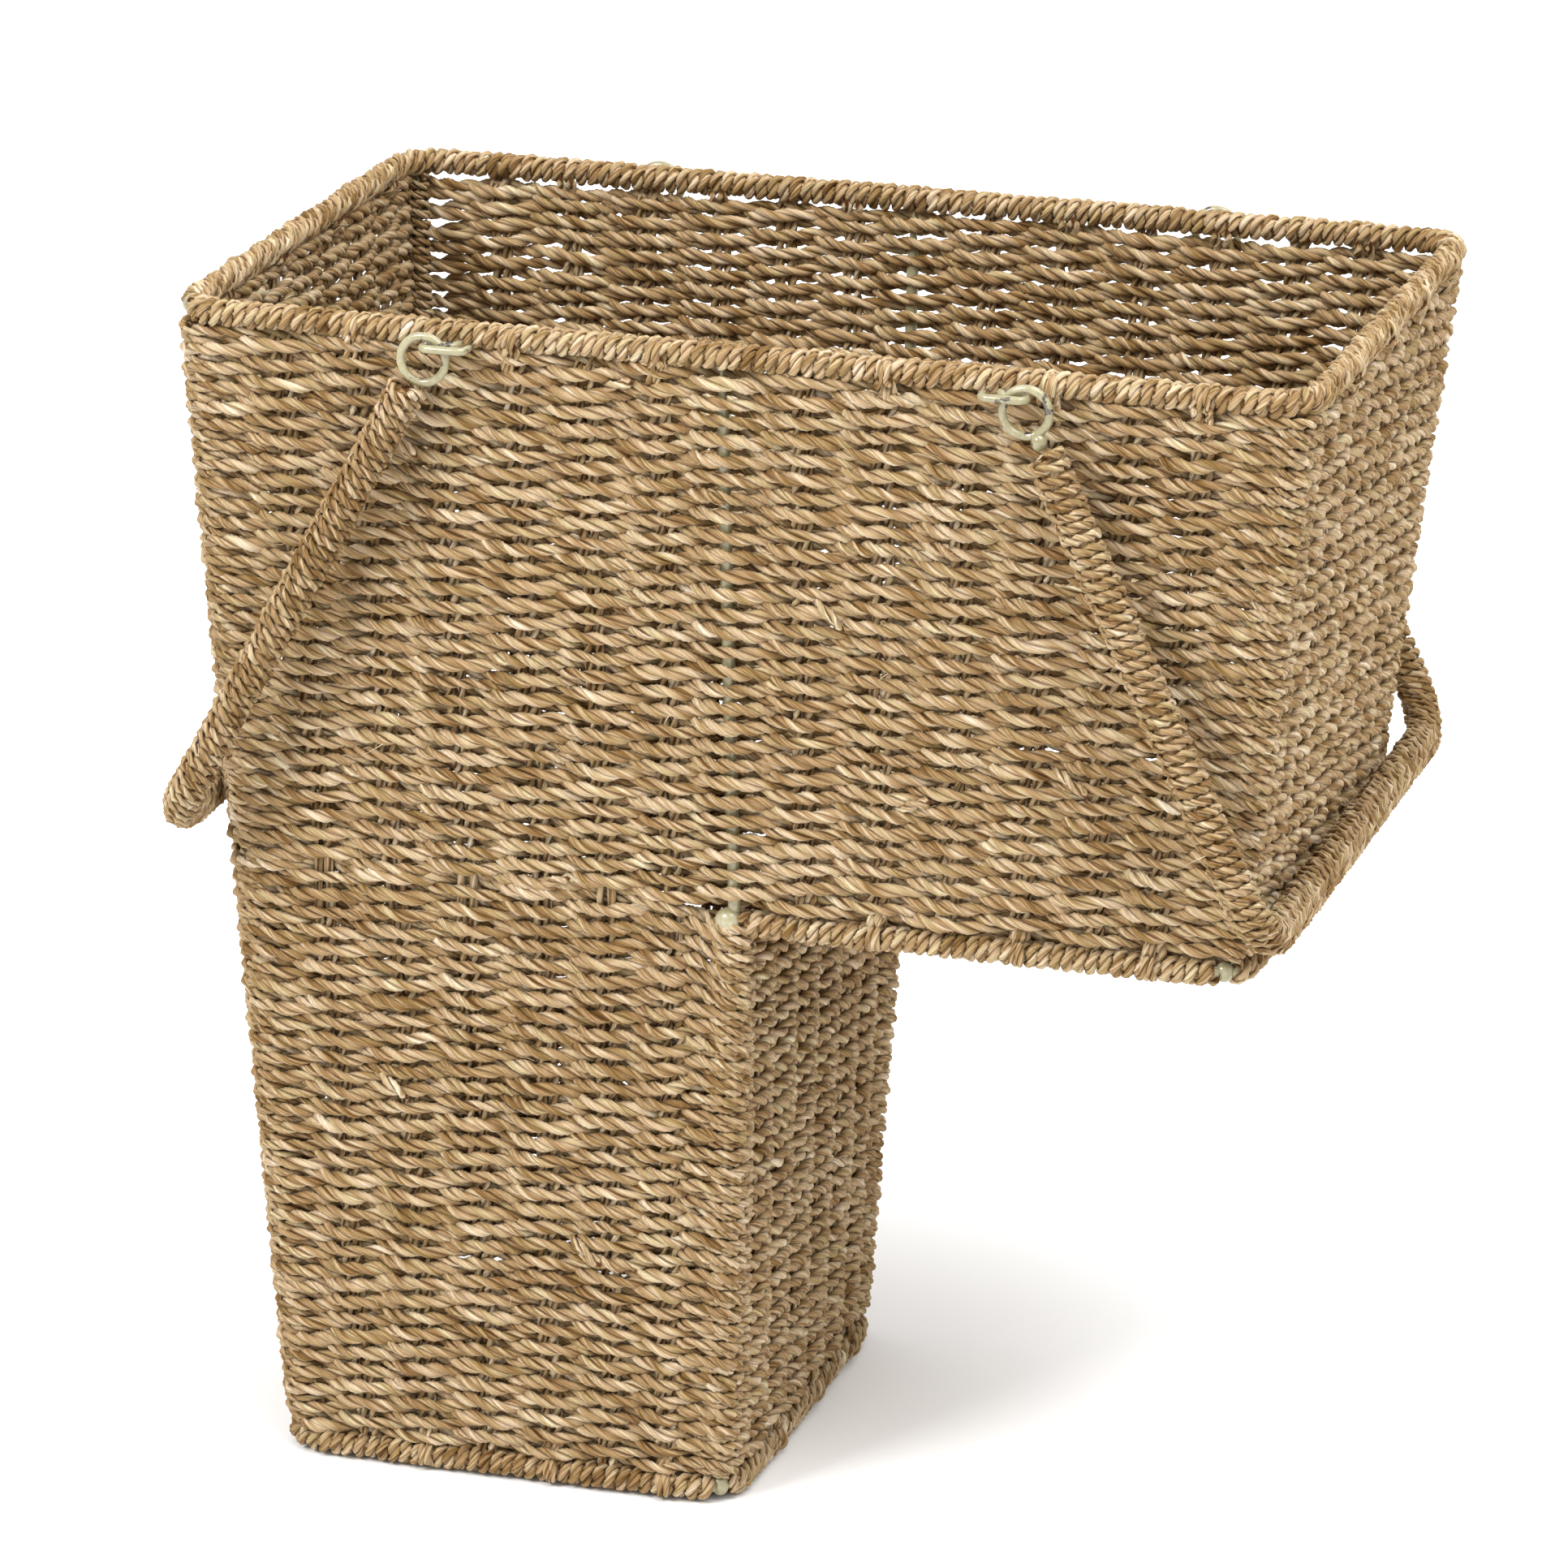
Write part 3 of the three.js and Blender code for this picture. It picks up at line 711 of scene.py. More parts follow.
def spiral(loop, low, high, seed):
    """All the courses of a loop from low to high as one cord. Returns its rings, fibres, tones and wall names."""
    count = int(round((high - low) / COURSE_PITCH))
    pitch = (high - low) / count
    per = len(loop.columns["s"])
    course = np.repeat(np.arange(count), per)
    tile = {k: np.tile(v, count) for k, v in loop.columns.items()}
    tile["corner"] = np.where(tile["f"] < 0.5, tile["a"], tile["b"])
    z = low + pitch * (course + tile["s"] / loop.length)
    u = course * loop.length + tile["s"]
    edge = ease((z - low) / 9) * ease((high + 4 - z) / 14)
    z = z + wave_field(tile["s"], loop.length, z, seed) * edge * 0.95 + 0.4 * wander(u, 13, seed + 2)
    z = np.minimum(z, RIM_Z - BINDING - 1.2) + settle(tile, z, loop, course)
    d = np.where(course % 2 == 0, np.tile(loop.profile(0), count), np.tile(loop.profile(1), count))
    d = d * (1 + 0.13 * wander(u, 31, seed + 3)) + 0.22 * wander(u, 19, seed + 4)
    tight = np.isin(tile["wall"], END_WALLS)
    d = d * np.where(tight, END_WALL_WAVE, 1.0)
    table = corner_table(z)
    row = np.arange(len(z))
    first, last = table[tile["a"], :, row], table[tile["b"], :, row]
    normal = np.stack([tile["nx"], tile["ny"]], -1)
    need = np.where(np.isin(tile["corner"], (FI, BI)), POST_INSET - table[tile["corner"], 2, row], 0.0)
    d = d + need * bell(tile["near"], 7.0)
    flat = mix(on_wall(first, normal), on_wall(last, normal), tile["f"][:, None]) + d[:, None] * normal
    points = np.concatenate([flat, z[:, None]], -1)
    out = np.concatenate([normal, np.zeros((len(z), 1))], -1)
    length = lengths(points)
    cornering = bell(tile["turn"], CORNER_TURN)
    extra_turns = np.cumsum(cornering * np.gradient(length)) * (1 / CORNER_LAY - 1 / CORD_LAY)
    size = cord_size(length, seed + 5) * np.where(tight, END_WALL_SIZE, 1.0)
    twist = twist_along(length, seed + 7) + 2 * np.pi * extra_turns
    scale = WALL_FLAT[0], WALL_FLAT[1] - CORNER_SQUEEZE * cornering[:, None]
    rings, fibre = sweep(points, out, WEAVER, size, twist, scale, start=seed * 1000.0)
    return rings, fibre, cord_tone(length, seed + 9), tile["wall"]


def build_tucked_ends():
    """Where one weaver ends and the next begins: a short cut end that lies across its neighbours."""
    skin = Skin()
    for sign, x, z, slope in TUCKED_ENDS:
        t = np.linspace(0, 1, 9)
        run = 15.0 * t
        y = sign * (half_y(z) + mix(-1.5, 4.3, ease(t * 1.6)))
        line = np.stack([x + run, y, z - slope * run + 1.5 * np.sin(np.pi * t)], -1)
        size = np.where(t > 0.9, 0.8, 1.0)
        turn = twist_along(run, int(abs(x * 10)) + 3, CUT_END_LAY)
        skin.add(*sweep(line, sign * ALONG_Y, CUT_CORD, size, turn, start=x * 40), 0.8)
    skin.build("tucked_ends", WEAVE)


def even_stakes(count):
    return tuple((i + 1) / (count + 1) for i in range(count))


def mirrored(stakes):
    return tuple(1 - share for share in reversed(stakes))


# A course's runs along the walls: the corners at the ends, the way out, the stakes' shares of the run, the wall.
UPPER_RUNS = [
    (FL, FM, FRONT, LEFT_HALF_STAKES, "front_left"),
    (FM, FR, FRONT, RIGHT_HALF_STAKES, "front_right"),
    (FR, BR, RIGHT, even_stakes(RIGHT_END_STAKES), "right_end"),
    (BR, BM, BACK, mirrored(RIGHT_HALF_STAKES), "back_right"),
    (BM, BL, BACK, mirrored(LEFT_HALF_STAKES), "back_left"),
    (BL, FL, LEFT, even_stakes(LEFT_END_STAKES), "left_end"),
]
LEG_RUNS = [
    (FL, FI, FRONT, LEFT_HALF_STAKES, "front_left"),
    (FI, BI, RIGHT, even_stakes(LEG_END_STAKES), "leg_inner"),
    (BI, BL, BACK, mirrored(LEFT_HALF_STAKES), "back_left"),
    UPPER_RUNS[-1],
]

# Cut ends on the long walls: side, x, height and how steeply each falls along x.
TUCKED_ENDS = [
    (-1, 24, RIM_Z - 76, 0.75),
    (-1, -45, RIM_Z - 17, -0.45),
    (-1, -118, RIM_Z - 33, 0.6),
    (-1, 104, RIM_Z - 128, 0.5),
    (-1, -70, LEDGE_Z + 3, -0.5),
    (-1, -128, LEDGE_Z - 66, 0.55),
    (-1, -62, LEDGE_Z - 118, 0.6),
    (-1, 52, RIM_Z - 150, -0.5),
    (1, -90, RIM_Z - 40, 0.6),
    (1, 60, RIM_Z - 95, -0.5),
    (1, 120, RIM_Z - 60, 0.5),
    (1, -120, LEDGE_Z - 40, 0.6),
    (1, -60, LEDGE_Z - 130, -0.6),
]

# Where courses stand apart: wall, share of its length, height, width and how far.
OPENINGS = [
    ("back_left", 0.955, RIM_Z - 17, 8, 1.2),
    ("back_left", 0.735, RIM_Z - 31, 19, 2.3),
    ("back_left", 0.955, RIM_Z - 36, 8, 1.2),
    ("front_left", 0.66, RIM_Z - 62, 26, 1.0),
    ("front_left", 0.93, LEDGE_Z - 1, 9, 1.1),
    ("front_left", 0.92, LEDGE_Z - 44, 10, 1.0),
    ("front_left", 0.33, LEDGE_Z - 74, 12, 0.9),
    ("front_right", 0.30, RIM_Z - 70, 10, 0.9),
]


def build_walls():
    seam = LEDGE_Z + BINDING + 2.2
    for part, runs, middle_z, low, high, seed in (
        ("leg", LEG_RUNS, (BASE_Z + LEDGE_Z) / 2, BASE_Z + BINDING + 1.3, seam, 100),
        ("upper", UPPER_RUNS, (RIM_Z + LEDGE_Z) / 2, seam, RIM_Z - BINDING + 1.4, 200),
    ):
        rings, fibre, tone, wall = spiral(Loop(runs, middle_z), low, high, seed)
        for name in dict.fromkeys(wall):
            skin = Skin().add(rings, fibre, tone, keep=wall[:-1] == name, fray=True)
            side, half = name.split("_")
            node = f"{name}_weave" if name in END_WALLS else f"{side}_weave_{half}"
            skin.build(f"{part}_weave_{name}", WEAVE, [node])


# ---- stakes and floors
def stake_lines(a, b, normal, fractions, low, high):
    """Pairs of upright cords between two corners of a loop, whose tops lean out and in by turns at the rim."""
    z = np.linspace(low, high, int((high - low) / STAKE_STEP))
    table = corner_table(z)
    n = np.array(normal)
    start, end = on_wall(table[a].T, n), on_wall(table[b].T, n)
    across = unit(end - start)
    lines = []
    for order, fraction in enumerate(fractions):
        lean = STAKE_LEAN if order % 2 else -STAKE_LEAN
        bow = lean * ease((z - RIM_Z + 9) / 7)
        sway = 1.1 * wander(z, 60, fresh_seed()) + 0.5 * wander(z, 21, fresh_seed())
        for side in (-1, 1):
            aside = side * STAKE_SPREAD + sway + 0.25 * wander(z, 15, fresh_seed())
            out = bow + 0.25 * wander(z, 17, fresh_seed())
            flat = mix(start, end, fraction) + aside[:, None] * across + out[:, None] * n
            lines.append(np.concatenate([flat, z[:, None]], -1))
    return np.array(lines)


def add_cords(skin, lines, out, section, flat=(1.0, 1.0)):
    u = lengths(lines) + np.arange(len(lines))[:, None] * 700.0 + float(rng.integers(5000))
    seed = fresh_seed()
    rings, fibre = sweep(lines, out, section, cord_size(u, seed), twist_along(u, seed + 2), flat)
    fibre[..., 0] = u[..., None]
    skin.add(rings, fibre, cord_tone(u, seed + 4))


def build_stakes():
    foot, top = BASE_Z + STAKE_END, RIM_Z - STAKE_END
    front, inner, back, left = (run[:4] for run in LEG_RUNS)
    skin = Skin()
    for leg_run, upper_run in ((front, UPPER_RUNS[0]), (back, UPPER_RUNS[4])):
        lower = stake_lines(*leg_run, foot, LEDGE_Z)
        upper = stake_lines(*upper_run[:4], LEDGE_Z, top)
        joined = np.concatenate([lower[:, :-4], upper[:, 4:]], 1)
        add_cords(skin, joined, (*leg_run[2], 0.0), STAKE_CORD, STAKE_FLAT)
    add_cords(skin, stake_lines(*left, foot, top), (*LEFT, 0.0), STAKE_CORD, STAKE_FLAT)
    skin.build("leg_side_stakes", STAKE)
    skin = Skin()
    spans = [(*inner, foot, LEDGE_Z - STAKE_END)]
    spans += [(*run[:4], LEDGE_Z + STAKE_END, top) for run in UPPER_RUNS[1:4]]
    for span in spans:
        add_cords(skin, stake_lines(*span), (*span[2], 0.0), STAKE_CORD, STAKE_FLAT)
    skin.build("raised_side_stakes", STAKE)


def tie_lines(a, b, normal, fractions, z, side):
    """Pairs of strands that hold every second pair of stakes to a ring: side is 1 at the rim, where they come
    up from the weave and over it, and -1 at the lower rings."""
    table = corner_table(z)
    n = np.array(normal)
    start, end = on_wall(table[a], n), on_wall(table[b], n)
    along = unit(end - start)
    angle = np.radians(np.linspace(-60, 62, 20))
    reach = mix(TIE_REACH, TIE_END_REACH, ease(np.linspace(-1.2, 1, 20)))
    out = np.concatenate([np.linspace(0.4, 2.6, 6), reach * np.cos(angle)])
    rise = np.concatenate([np.linspace(-12.5, -6.3, 6), reach * np.sin(angle)]) * side
    lines = []
    for fraction in fractions[1::2]:
        sway = rng.uniform(-1.5, 1.5)
        for strand in (-1, 1):
            aside = strand * (1.0 + 0.3 * wander(rise, 5, fresh_seed())) + sway * rise / 12
            flat = mix(start, end, fraction) + aside[:, None] * along + out[:, None] * n
            lines.append(np.concatenate([flat, (z + rise)[:, None]], -1))
    return np.array(lines)


def build_ties():
    skin = Skin()
    for runs, z, side in ((UPPER_RUNS, RIM_Z, 1), (UPPER_RUNS[1:4], LEDGE_Z, -1), (LEG_RUNS, BASE_Z, -1)):
        for run in runs:
            add_cords(skin, tie_lines(*run[:4], z, side), (*run[2], 0.0), TIE_CORD)
    skin.build("stake_ties", BOUND)


def build_floor(name, x0, x1, half, z, stakes):
    """A level floor: weavers along X over and under pairs of stakes along Y."""
    rows = int(2 * half / FLOOR_PITCH)
    y = np.linspace(-half, half, rows)
    x = np.linspace(x0, x1, int((x1 - x0) / FLOOR_STEP))
    knots = np.concatenate([[x0], stakes, [x1]])
    i, t = between(knots, x)
    wave = mix(np.where(i % 2, 1.0, -1.0), np.where(i % 2, -1.0, 1.0), ease(t))
    lines = np.zeros((rows, len(x), 3))
    for row in range(rows):
        lines[row, :, 0] = x
        lines[row, :, 1] = y[row] + 0.5 * wander(x + 9 * row, 25, 31) + 0.3 * wander(x, 40, 32 + row)
        lines[row, :, 2] = z + wave * (1 if row % 2 else -1) * FLOOR_WAVE
    skin = Skin()
    add_cords(skin, lines, UP, FLOOR_CORD)
    y = np.linspace(-half, half, int(2 * half / FLOOR_STAKE_STEP))
    lines = []
    for stake in stakes:
        sway = 0.8 * wander(y, 50, fresh_seed())
        for side in (-1, 1):
            lines.append(np.stack([stake + side * STAKE_SPREAD + sway, y, np.full_like(y, z)], -1))
    add_cords(skin, np.array(lines), UP, STAKE_CORD, FLOOR_STAKE_FLAT)
    skin.build(f"{name}_floor_cords", WEAVE, [f"{name}_floor_weave"])


def build_floors():
    for name, left, gap, ring, z, shares in (
        ("base", BASE[0], FLOOR_REACH, BASE, BASE_Z, (0.06, *LEFT_HALF_STAKES)),
        ("ledge", NOTCH_X, 1.5, LEDGE, LEDGE_Z, (*RIGHT_HALF_STAKES, 0.96)),
    ):
        stakes = mix(left, ring[1] - POST_INSET, np.array(shares))
        build_floor(name, left + gap, ring[1] - FLOOR_REACH, ring[2] - BINDING + 1, z, stakes)


# ---- wires, rings and bindings
def rounded(corners, radius, steps=8):
    """A path through corners with each inner corner rounded."""
    corners = [np.array(p, float) for p in corners]
    points = [corners[0]]
    for before, here, after in zip(corners, corners[1:], corners[2:]):
        incoming, outgoing = unit(here - before), unit(after - here)
        turn = math.acos(np.clip(incoming @ outgoing, -1, 1))
        start = here - incoming * radius * math.tan(turn / 2)
        side = unit(outgoing - incoming * math.cos(turn))
        for k in range(steps + 1):
            angle = turn * k / steps
            points.append(start + side * radius * (1 - math.cos(angle)) + incoming * radius * math.sin(angle))
    points.append(corners[-1])
    return np.array(points)


def padding(path, margin, low, high):
    """The fibre packed between a ring's wire and its binding, as a tube of short steps, bare from low to high."""
    end = path.s[-1] - margin
    s = np.linspace(margin, end, int((end - margin) / 1.5))
    points, out = path.at(s)
    size = np.where((s > low - 1.6) & (s < high + 1.6), 0.84, 1.0)
    rings, fibre = sweep(points, out, circle(12, RING_PADDING), size, s / PADDING_TWIST, capped=False)
    return rings, fibre, RING_PADDING_TONE, (s[1:] <= low) | (s[:-1] >= high)


class Path:
    """A fine path with a direction out of the bend at each point."""

    def __init__(self, points, out):
        self.s = lengths(points)
        self.points, self.out = points, out

    def at(self, s):
        points, out = (
            np.stack([np.interp(s, self.s, rows[:, i]) for i in range(3)], -1) for rows in (self.points, self.out)
        )
        return points, unit(out)


def level_path(corners, z):
    """A path at one height round corners given by x and y."""
    points = rounded([(x, y, z) for x, y in corners], CORNER_RADIUS, 12)
    tangent = unit(np.gradient(points, axis=0))
    return Path(points, np.cross(tangent, UP))


def wrap(path, start, end, radius, pitch, lean, section, seed, gaps=(), bends=()):
    """A cord wound round a path, closer round its bends and left off over its gaps. Returns rings, fibres,
    tones, each ring's place along the path, and which steps between rings to keep."""
    fine = np.linspace(start, end, 2000)
    local = np.full_like(fine, pitch)
    for low, high in bends:
        local[(fine > low) & (fine < high)] *= BEND_PITCH_SHARE
    turned = np.concatenate([[0], np.cumsum((fine[1] - fine[0]) / local[1:])])
    turns = turned[-1]
    phase = np.linspace(0, 2 * np.pi * turns, int(turns * WRAP_STEPS))
    s = np.interp(phase / (2 * np.pi), turned, fine)
    s = s + 0.45 * wander(s, 11, seed) + 0.25 * wander(s, 5, seed + 1)
    size = 1 + 0.07 * wander(phase * radius, 23, seed + 2)
    for low, high in gaps:
        size = size * (0.04 + 0.96 * ease(np.abs(s - (low + high) / 2) - (high - low) / 2 + 0.1))
    reach = radius + 0.22 * wander(s, 7, seed + 3)
    shifted = np.clip(s + lean * radius * np.sin(phase), path.s[0], path.s[-1])
    middle, out = path.at(shifted)
    tangent = unit(path.at(shifted + 0.5)[0] - path.at(shifted - 0.5)[0])
    other = np.cross(out, tangent)
    away = np.cos(phase)[:, None] * out + np.sin(phase)[:, None] * other
    points = middle + reach[:, None] * away
    u = lengths(points)
    rings, fibre = sweep(
        points, away, section, size, twist_along(u, seed + 5, WRAP_LAY), flat=WRAP_FLAT, start=seed * 900.0
    )
    keep = np.ones(len(s) - 1, bool)
    for low, high in gaps:
        keep &= ~((s[:-1] > low) & (s[:-1] < high))
    return rings, fibre, cord_tone(u, seed + 8), s, keep


def bind(name, path, margin, gap, edges, sides, seed):
    """The cord wound round a ring's wire, one piece for each side. The sides start at the edges."""
    rings, fibre, tone, s, keep = wrap(
        path, margin, path.s[-1] - margin, RING_WRAP_RADIUS, RING_WRAP_PITCH, RING_WRAP_LEAN, RING_CORD, seed, [gap]
    )
    side = np.array(sides)[np.searchsorted(edges, s[:-1], side="right") - 1]
    for which in ("front", "right", "back", "left"):
        if which in sides:
            skin = Skin().add(rings, fibre, tone, keep=keep & (side == which), fray=True)
            skin.build(f"{name}_wrap_{which}", BOUND, [f"{name}_binding_{which}"])


def build_ring(name, ring, z, seed, bare_corner):
    """A closed ring, wound anticlockwise from the middle of its left side, with bare wire at one corner."""
    x0, x1, half = ring
    path = level_path([(x0, 0), (x0, -half), (x1, -half), (x1, half), (x0, half), (x0, 0)], z)
    bend = CORNER_RADIUS * np.pi / 2
    short, long = 2 * (half - CORNER_RADIUS), x1 - x0 - 2 * CORNER_RADIUS
    first = short / 2 + bend / 2
    edges = [0, first, first + long + bend, first + long + short + 2 * bend, first + 2 * long + short + 3 * bend]
    bare = first - 4.2 if bare_corner == "front_left" else first + long + bend
    bind(name, path, 0, (bare - 2.4, bare + 2.0), edges, ["left", "front", "right", "back", "left"], seed)
    Skin().add(*padding(path, 0, bare - 3.4, bare + 3.0)).build(f"{name}_padding", BOUND)
    skin = Skin().add(*sweep(path.points, path.out, FRAME_WIRE, capped=False))
    skin.add(*lump(path.at(bare - 0.2)[0], (3.3, 3.3, 3.6), seed))
    skin.build(f"{name}_ring_wire", PAINT, [f"{name}_wire"])


def build_ledge():
    """The U under the raised half, from the front of the notch round to the back, and the wire across the notch."""
    x0, x1, half = LEDGE[0] - LEDGE_LAP, LEDGE[1], LEDGE[2]
    path = level_path([(x0, -half), (x1, -half), (x1, half), (x0, half)], LEDGE_Z)
    bend = CORNER_RADIUS * np.pi / 2
    short, long = 2 * (half - CORNER_RADIUS), x1 - LEDGE[0] + LEDGE_LAP - CORNER_RADIUS
    edges = [-9, long + bend / 2, long + 1.5 * bend + short]
    bind("ledge", path, 3.2, (long + 6.4, long + 11.0), edges, ["front", "right", "back"], 61)
    Skin().add(*padding(path, 4.5, long + 5.4, long + 12.0)).build("ledge_padding", BOUND)
    skin = Skin().add(*sweep(path.points, path.out, FRAME_WIRE))
    skin.add(*lump(path.at(long + 8.7)[0], (3.3, 3.3, 3.4), 5))
    cross = np.array([(NOTCH_X, y, LEDGE_Z) for y in (cross_low[1], 0, cross_high[1])])
    skin.add(*sweep(cross, UP, FRAME_WIRE))
    skin.build("ledge_ring_wire", PAINT, ["ledge_wire", "notch_cross_wire"])


def build_posts():
    bent = np.concatenate([np.linspace(BASE_Z, LEDGE_Z, 10), np.linspace(LEDGE_Z + 6, RIM_Z, 10)])
    in_leg = (bent <= LEDGE_Z)[:, None]
    for wall, left, middle, right, inner in (("front", FL, FM, FR, FI), ("back", BL, BM, BR, BI)):
        for name, line in (
            ("left", corner_line(left, np.linspace(BASE_Z, RIM_Z, 12))),
            ("right", corner_line(right, np.linspace(LEDGE_Z, RIM_Z, 12))),
            ("middle", np.where(in_leg, corner_line(inner, bent), corner_line(middle, bent))),
        ):
            skin = Skin().add(*sweep(line, ALONG_X, FRAME_WIRE))
            skin.build(f"{wall}_{name}_post_wire", PAINT, [f"{wall}_{name}_post"])


def build_post_wraps():
    """The cord turned round each corner post inside the weave."""
    top = RIM_Z - BINDING
    for part, left, right, inner in (("front", FL, FR, FI), ("back", BL, BR, BI)):
        skin = Skin()
        for corner, low, high in ((left, BASE_Z, top), (right, LEDGE_Z, top), (inner, BASE_Z, LEDGE_Z - 3)):
            line = corner_line(corner, np.linspace(low + BINDING, high, 30))
            path = Path(line, np.broadcast_to(ALONG_X, line.shape))
            rings, fibre, tone, _, keep = wrap(
                path, 0, path.s[-1], POST_WRAP_RADIUS, POST_WRAP_PITCH, 0.0, POST_CORD, 300 + corner
            )
            skin.add(rings, fibre, tone, keep)
        skin.build(f"{part}_post_turns", STAKE)


def lump(centre, radii, seed):
    """A rounded bead of weld or paint, as a swept solid."""
    t = np.linspace(0, np.pi, 16)
    line = np.array(centre) - np.cos(t)[:, None] * radii[2] * UP
    size = np.maximum(np.sin(t), 0.02) * (1 + 0.12 * wander(t * 10, 4, seed))
    return sweep(line, ALONG_X, circle(16, 1.0) * np.array(radii[:2]), size, capped=False)


def build_welds():
    """The painted weld where the ledge wire meets the front and back middle posts."""
    skin = Skin()
    for sign in (-1, 1):
        skin.add(*lump((NOTCH_X - 1.6, sign * (half_y(LEDGE_Z) + 1.6), LEDGE_Z + 0.2), (5.0, 4.0, 5.2), 5))
    skin.build("notch_welds", PAINT)


def build_eyes():
    """Level loops that come out of the wall, run along it to a tip and go back in."""
    for node in ("front_left_eye", "front_right_eye", "back_left_eye", "back_right_eye"):
        low, high = box_mm(node)
        radius = (high[2] - low[2]) / 2
        z = (low[2] + high[2]) / 2 + EYE_LIFT
        sign = 1 if low[0] > 0 else -1
        wall = 1 if low[1] > 0 else -1
        near, far = (low, high) if sign > 0 else (high, low)
        tip, tail = far[0] - sign * (radius - 1.4), near[0] + sign * (radius + 5.5)
        back = tail + sign * 4.8
        outer = (high[1] if wall > 0 else low[1]) - wall * (radius + 1.0)
        inner = outer - wall * 5.8
        rim = wall * (RIM[2] + 1.0)
        corners = [(tail, rim), (tail, outer), (tip, outer), (tip, inner), (back, inner), (back, rim)]
        line = rounded([(x, y, z) for x, y in corners], EYE_BEND, 6)
        size = mix(0.5, 1.0, ease(lengths(line) / 11))
        Skin().add(*sweep(line, UP, circle(14, EYE_WIRE), size)).build(f"{node}_wire", CHIPPED, [node])


def build_bail(name, binding_start, seed):
    """A bail hanging from its hinge, as in the frame. Its binding starts so far below the hinge."""
    joint = next(j for j in frame["joints"] if j["child"] == name)
    pivot = np.array(joint["pos_m"]) / MM
    low, high = box_mm(f"{name}_binding_front")
    middle = (low + high) / 2
    arm_y = -middle[1]
    down = unit(np.array([middle[0] - pivot[0], 0, middle[2] - pivot[2]]))
    grip_low, _ = box_mm(f"{name}_grip")
    reach = (pivot[2] - grip_low[2] - (high[1] - low[1]) / 2) / -down[2]
    origin = np.array([pivot[0], 0, pivot[2]])

    def at(y, along):
        return origin + y * ALONG_Y + down * along

    ring_end = BAIL_RING_DROP + BAIL_RING
    corners = [at(-arm_y, ring_end), at(-arm_y, reach), at(arm_y, reach), at(arm_y, ring_end)]
    points = rounded(corners, BAIL_BEND, 14)
    side = np.cross(down, ALONG_Y)
    path = Path(points, np.cross(unit(np.gradient(points, axis=0)), side))
    total = path.s[-1]
    start = binding_start - ring_end
    arm = reach - BAIL_BEND - ring_end
    bend = BAIL_BEND * np.pi / 2
    rings, fibre, tone, s, keep = wrap(
        path, start, total - start, BAIL_WRAP_RADIUS, BAIL_WRAP_PITCH, 0.0, BAIL_CORD, seed,
        bends=[(arm - 3, arm + bend + 3), (total - arm - bend - 3, total - arm + 3)],
    )
    which = np.where(s[:-1] < arm, 0, np.where(s[:-1] > total - arm, 2, 1))
    for i, part in enumerate(("binding_front", "grip", "binding_back")):
        skin = Skin().add(rings, fibre, tone, keep=keep & (which == i), fray=True)
        skin.build(f"{name}_{part}_wrap", BAIL, [f"{name}_{part}"], name)
    inside = np.linspace(start + 0.3, total - start - 0.3, 240)
    core, fibre = sweep(*path.at(inside), circle(12, BAIL_PADDING), 1.0, inside / PADDING_TWIST)
    Skin().add(core, fibre, BAIL_PADDING_TONE).build(f"{name}_padding", BAIL, body=name)
    skin = Skin().add(*sweep(path.points, path.out, circle(12, BAIL_WIRE)))
    angle = np.linspace(0, 2 * np.pi, 61)
    around = np.cos(angle)[:, None] * down + np.sin(angle)[:, None] * side
    for y in (-arm_y, arm_y):
        ring = at(y, BAIL_RING_DROP) + BAIL_RING * around
        skin.add(*sweep(ring, ALONG_Y, circle(14, BAIL_WIRE), capped=False))
    if binding_start > ring_end + BEAD_ROOM:
        for y in (-arm_y, arm_y):
            skin.add(*lump(at(y, ring_end + 2.6), (2.5, 2.4, 3.0), 9))
    skin.build(f"{name}_wire_ring", CHIPPED, [f"{name}_wire"], name)


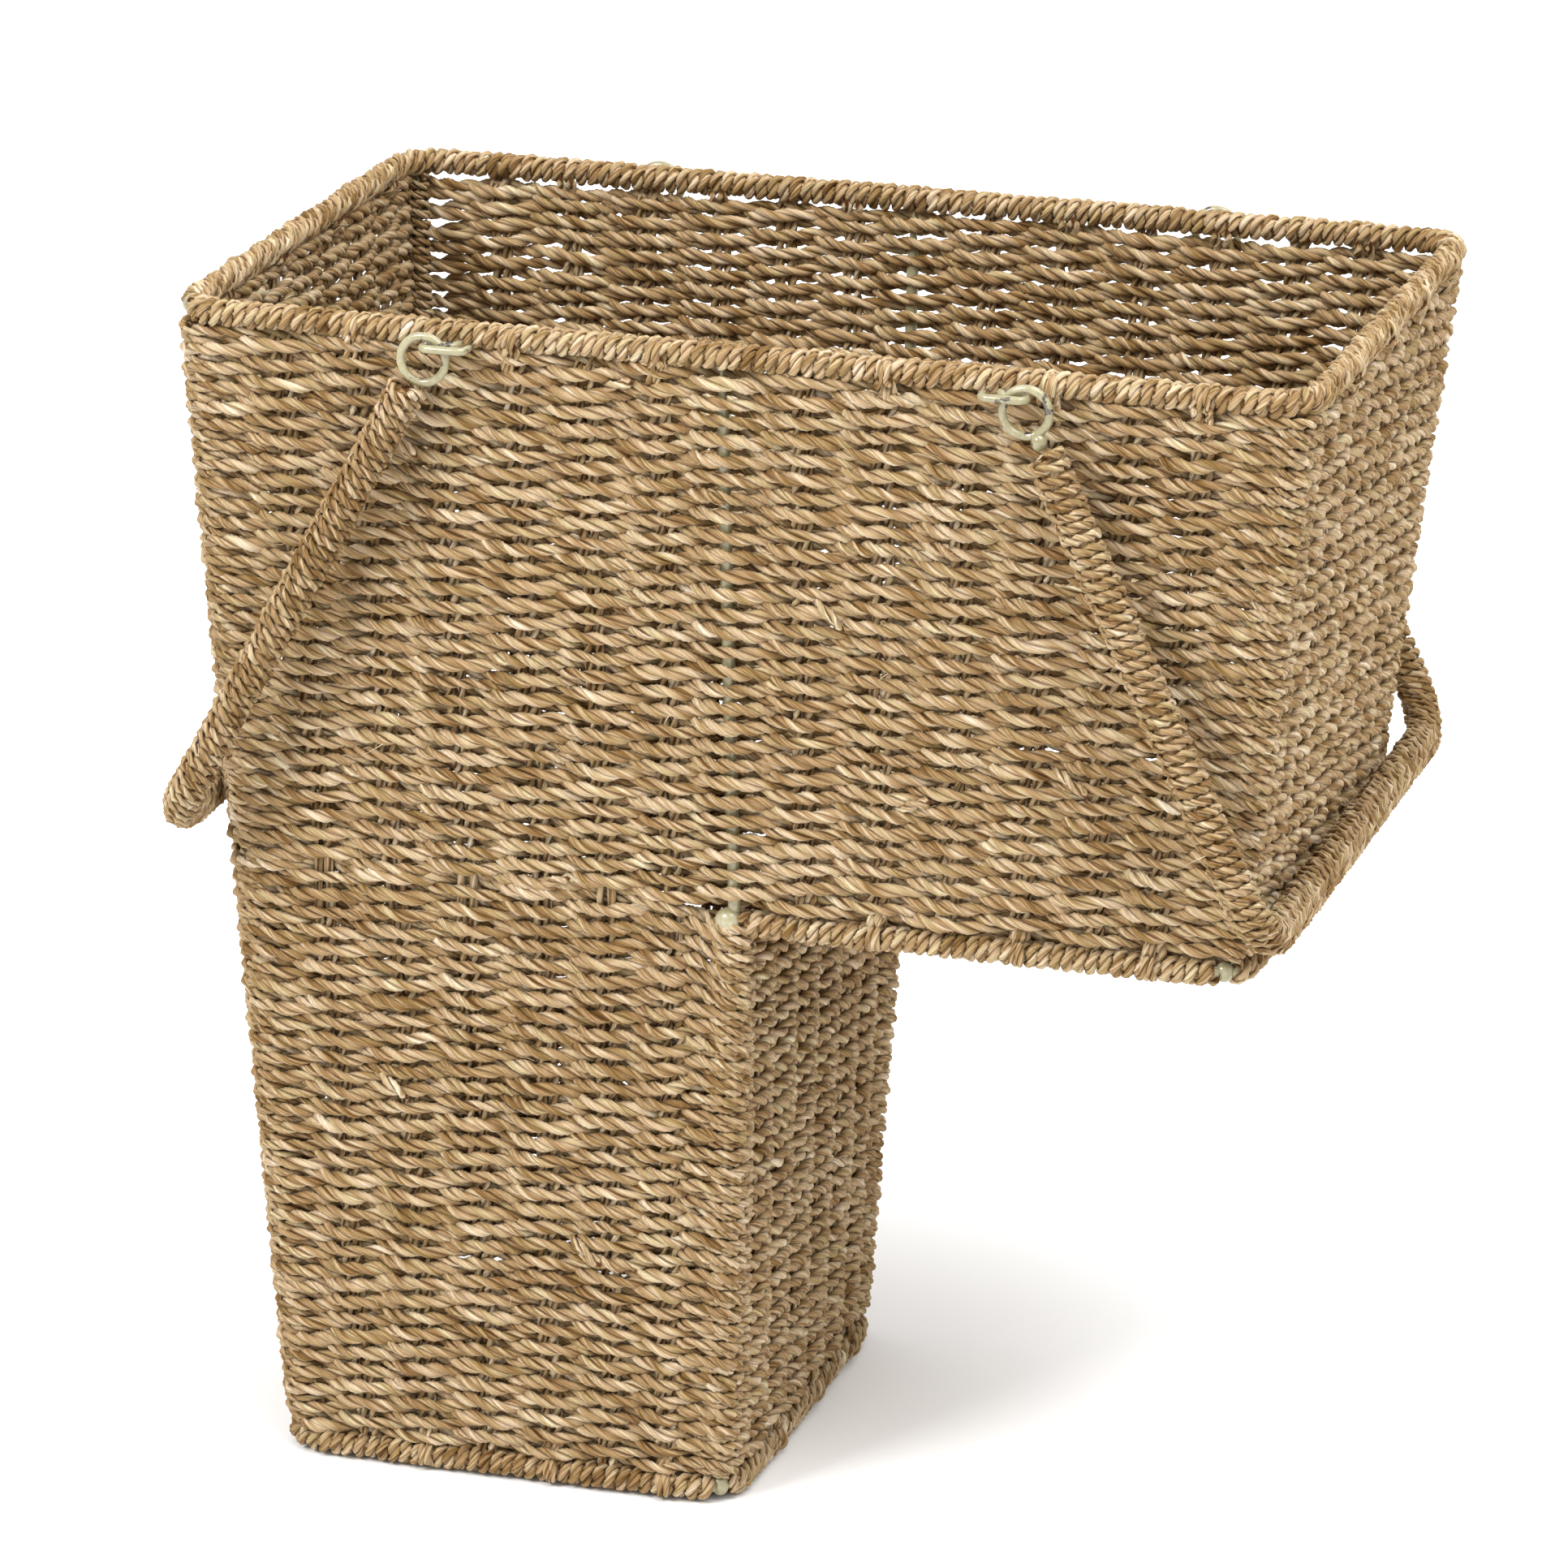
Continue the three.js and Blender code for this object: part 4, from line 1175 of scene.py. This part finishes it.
# ---- stage
def build_stage():
    mesh = bpy.data.meshes.new("floor")
    half = 12.0
    mesh.from_pydata([(-half, -half, 0), (half, -half, 0), (half, half, 0), (-half, half, 0)], [], [(0, 1, 2, 3)])
    floor = new_object("floor", mesh)
    floor.location.z = -0.0005
    n = Nodes("pale_floor")
    n.shade({"Base Color": (0.9, 0.9, 0.9), "Roughness": 0.9})
    mesh.materials.append(n.material)
    world = bpy.data.worlds.new("studio")
    bpy.context.scene.world = world
    world.use_nodes = True
    background = world.node_tree.nodes["Background"]
    background.inputs["Color"].default_value = (1, 1, 1, 1)
    background.inputs["Strength"].default_value = 0.9
    for name, place, size, power in (
        ("key", (-1.6, -2.6, 2.6), 1.3, 110.0),
        ("fill", (2.3, -1.8, 2.1), 2.0, 12.0),
        ("back", (0.6, 2.9, 1.7), 2.0, 30.0),
        ("top", (0.9, -0.6, 2.8), 1.8, 72.0),
    ):
        light = bpy.data.lights.new(name, "AREA")
        light.size = size
        light.energy = power
        lamp = new_object(name, light)
        lamp.location = place
        aim = -lamp.location.copy()
        aim.z += 0.2
        lamp.rotation_mode = "QUATERNION"
        lamp.rotation_quaternion = aim.to_track_quat("-Z", "Y")
    bpy.context.scene.view_settings.view_transform = "Standard"


def build_camera():
    azimuth, elevation, roll = (math.radians(a) for a in CAMERA_ANGLES)
    back = np.array(
        [math.sin(azimuth) * math.cos(elevation), -math.cos(azimuth) * math.cos(elevation), math.sin(elevation)]
    )
    right = unit(np.cross(-back, UP))
    up = np.cross(right, -back)
    matrix = np.eye(4)
    matrix[:3, 0] = right * math.cos(roll) + up * math.sin(roll)
    matrix[:3, 1] = up * math.cos(roll) - right * math.sin(roll)
    matrix[:3, 2] = back
    matrix[:3, 3] = CAMERA_PLACE
    data = bpy.data.cameras.new("camera")
    data.sensor_width = 36
    data.lens = CAMERA_LENS
    data.clip_start, data.clip_end = 0.1, 50
    camera = new_object("camera", data)
    camera.matrix_world = Matrix(matrix.tolist())
    bpy.context.scene.camera = camera


build_walls()
build_tucked_ends()
build_stakes()
build_ties()
build_floors()
build_ring("rim", RIM, RIM_Z, 41, "front_left")
build_ring("base", BASE, BASE_Z, 51, "front_right")
build_ledge()
build_posts()
build_post_wraps()
build_welds()
build_eyes()
build_bail("left_bail", 13.0, 71)
build_bail("right_bail", 17.6, 81)
build_stage()
build_camera()
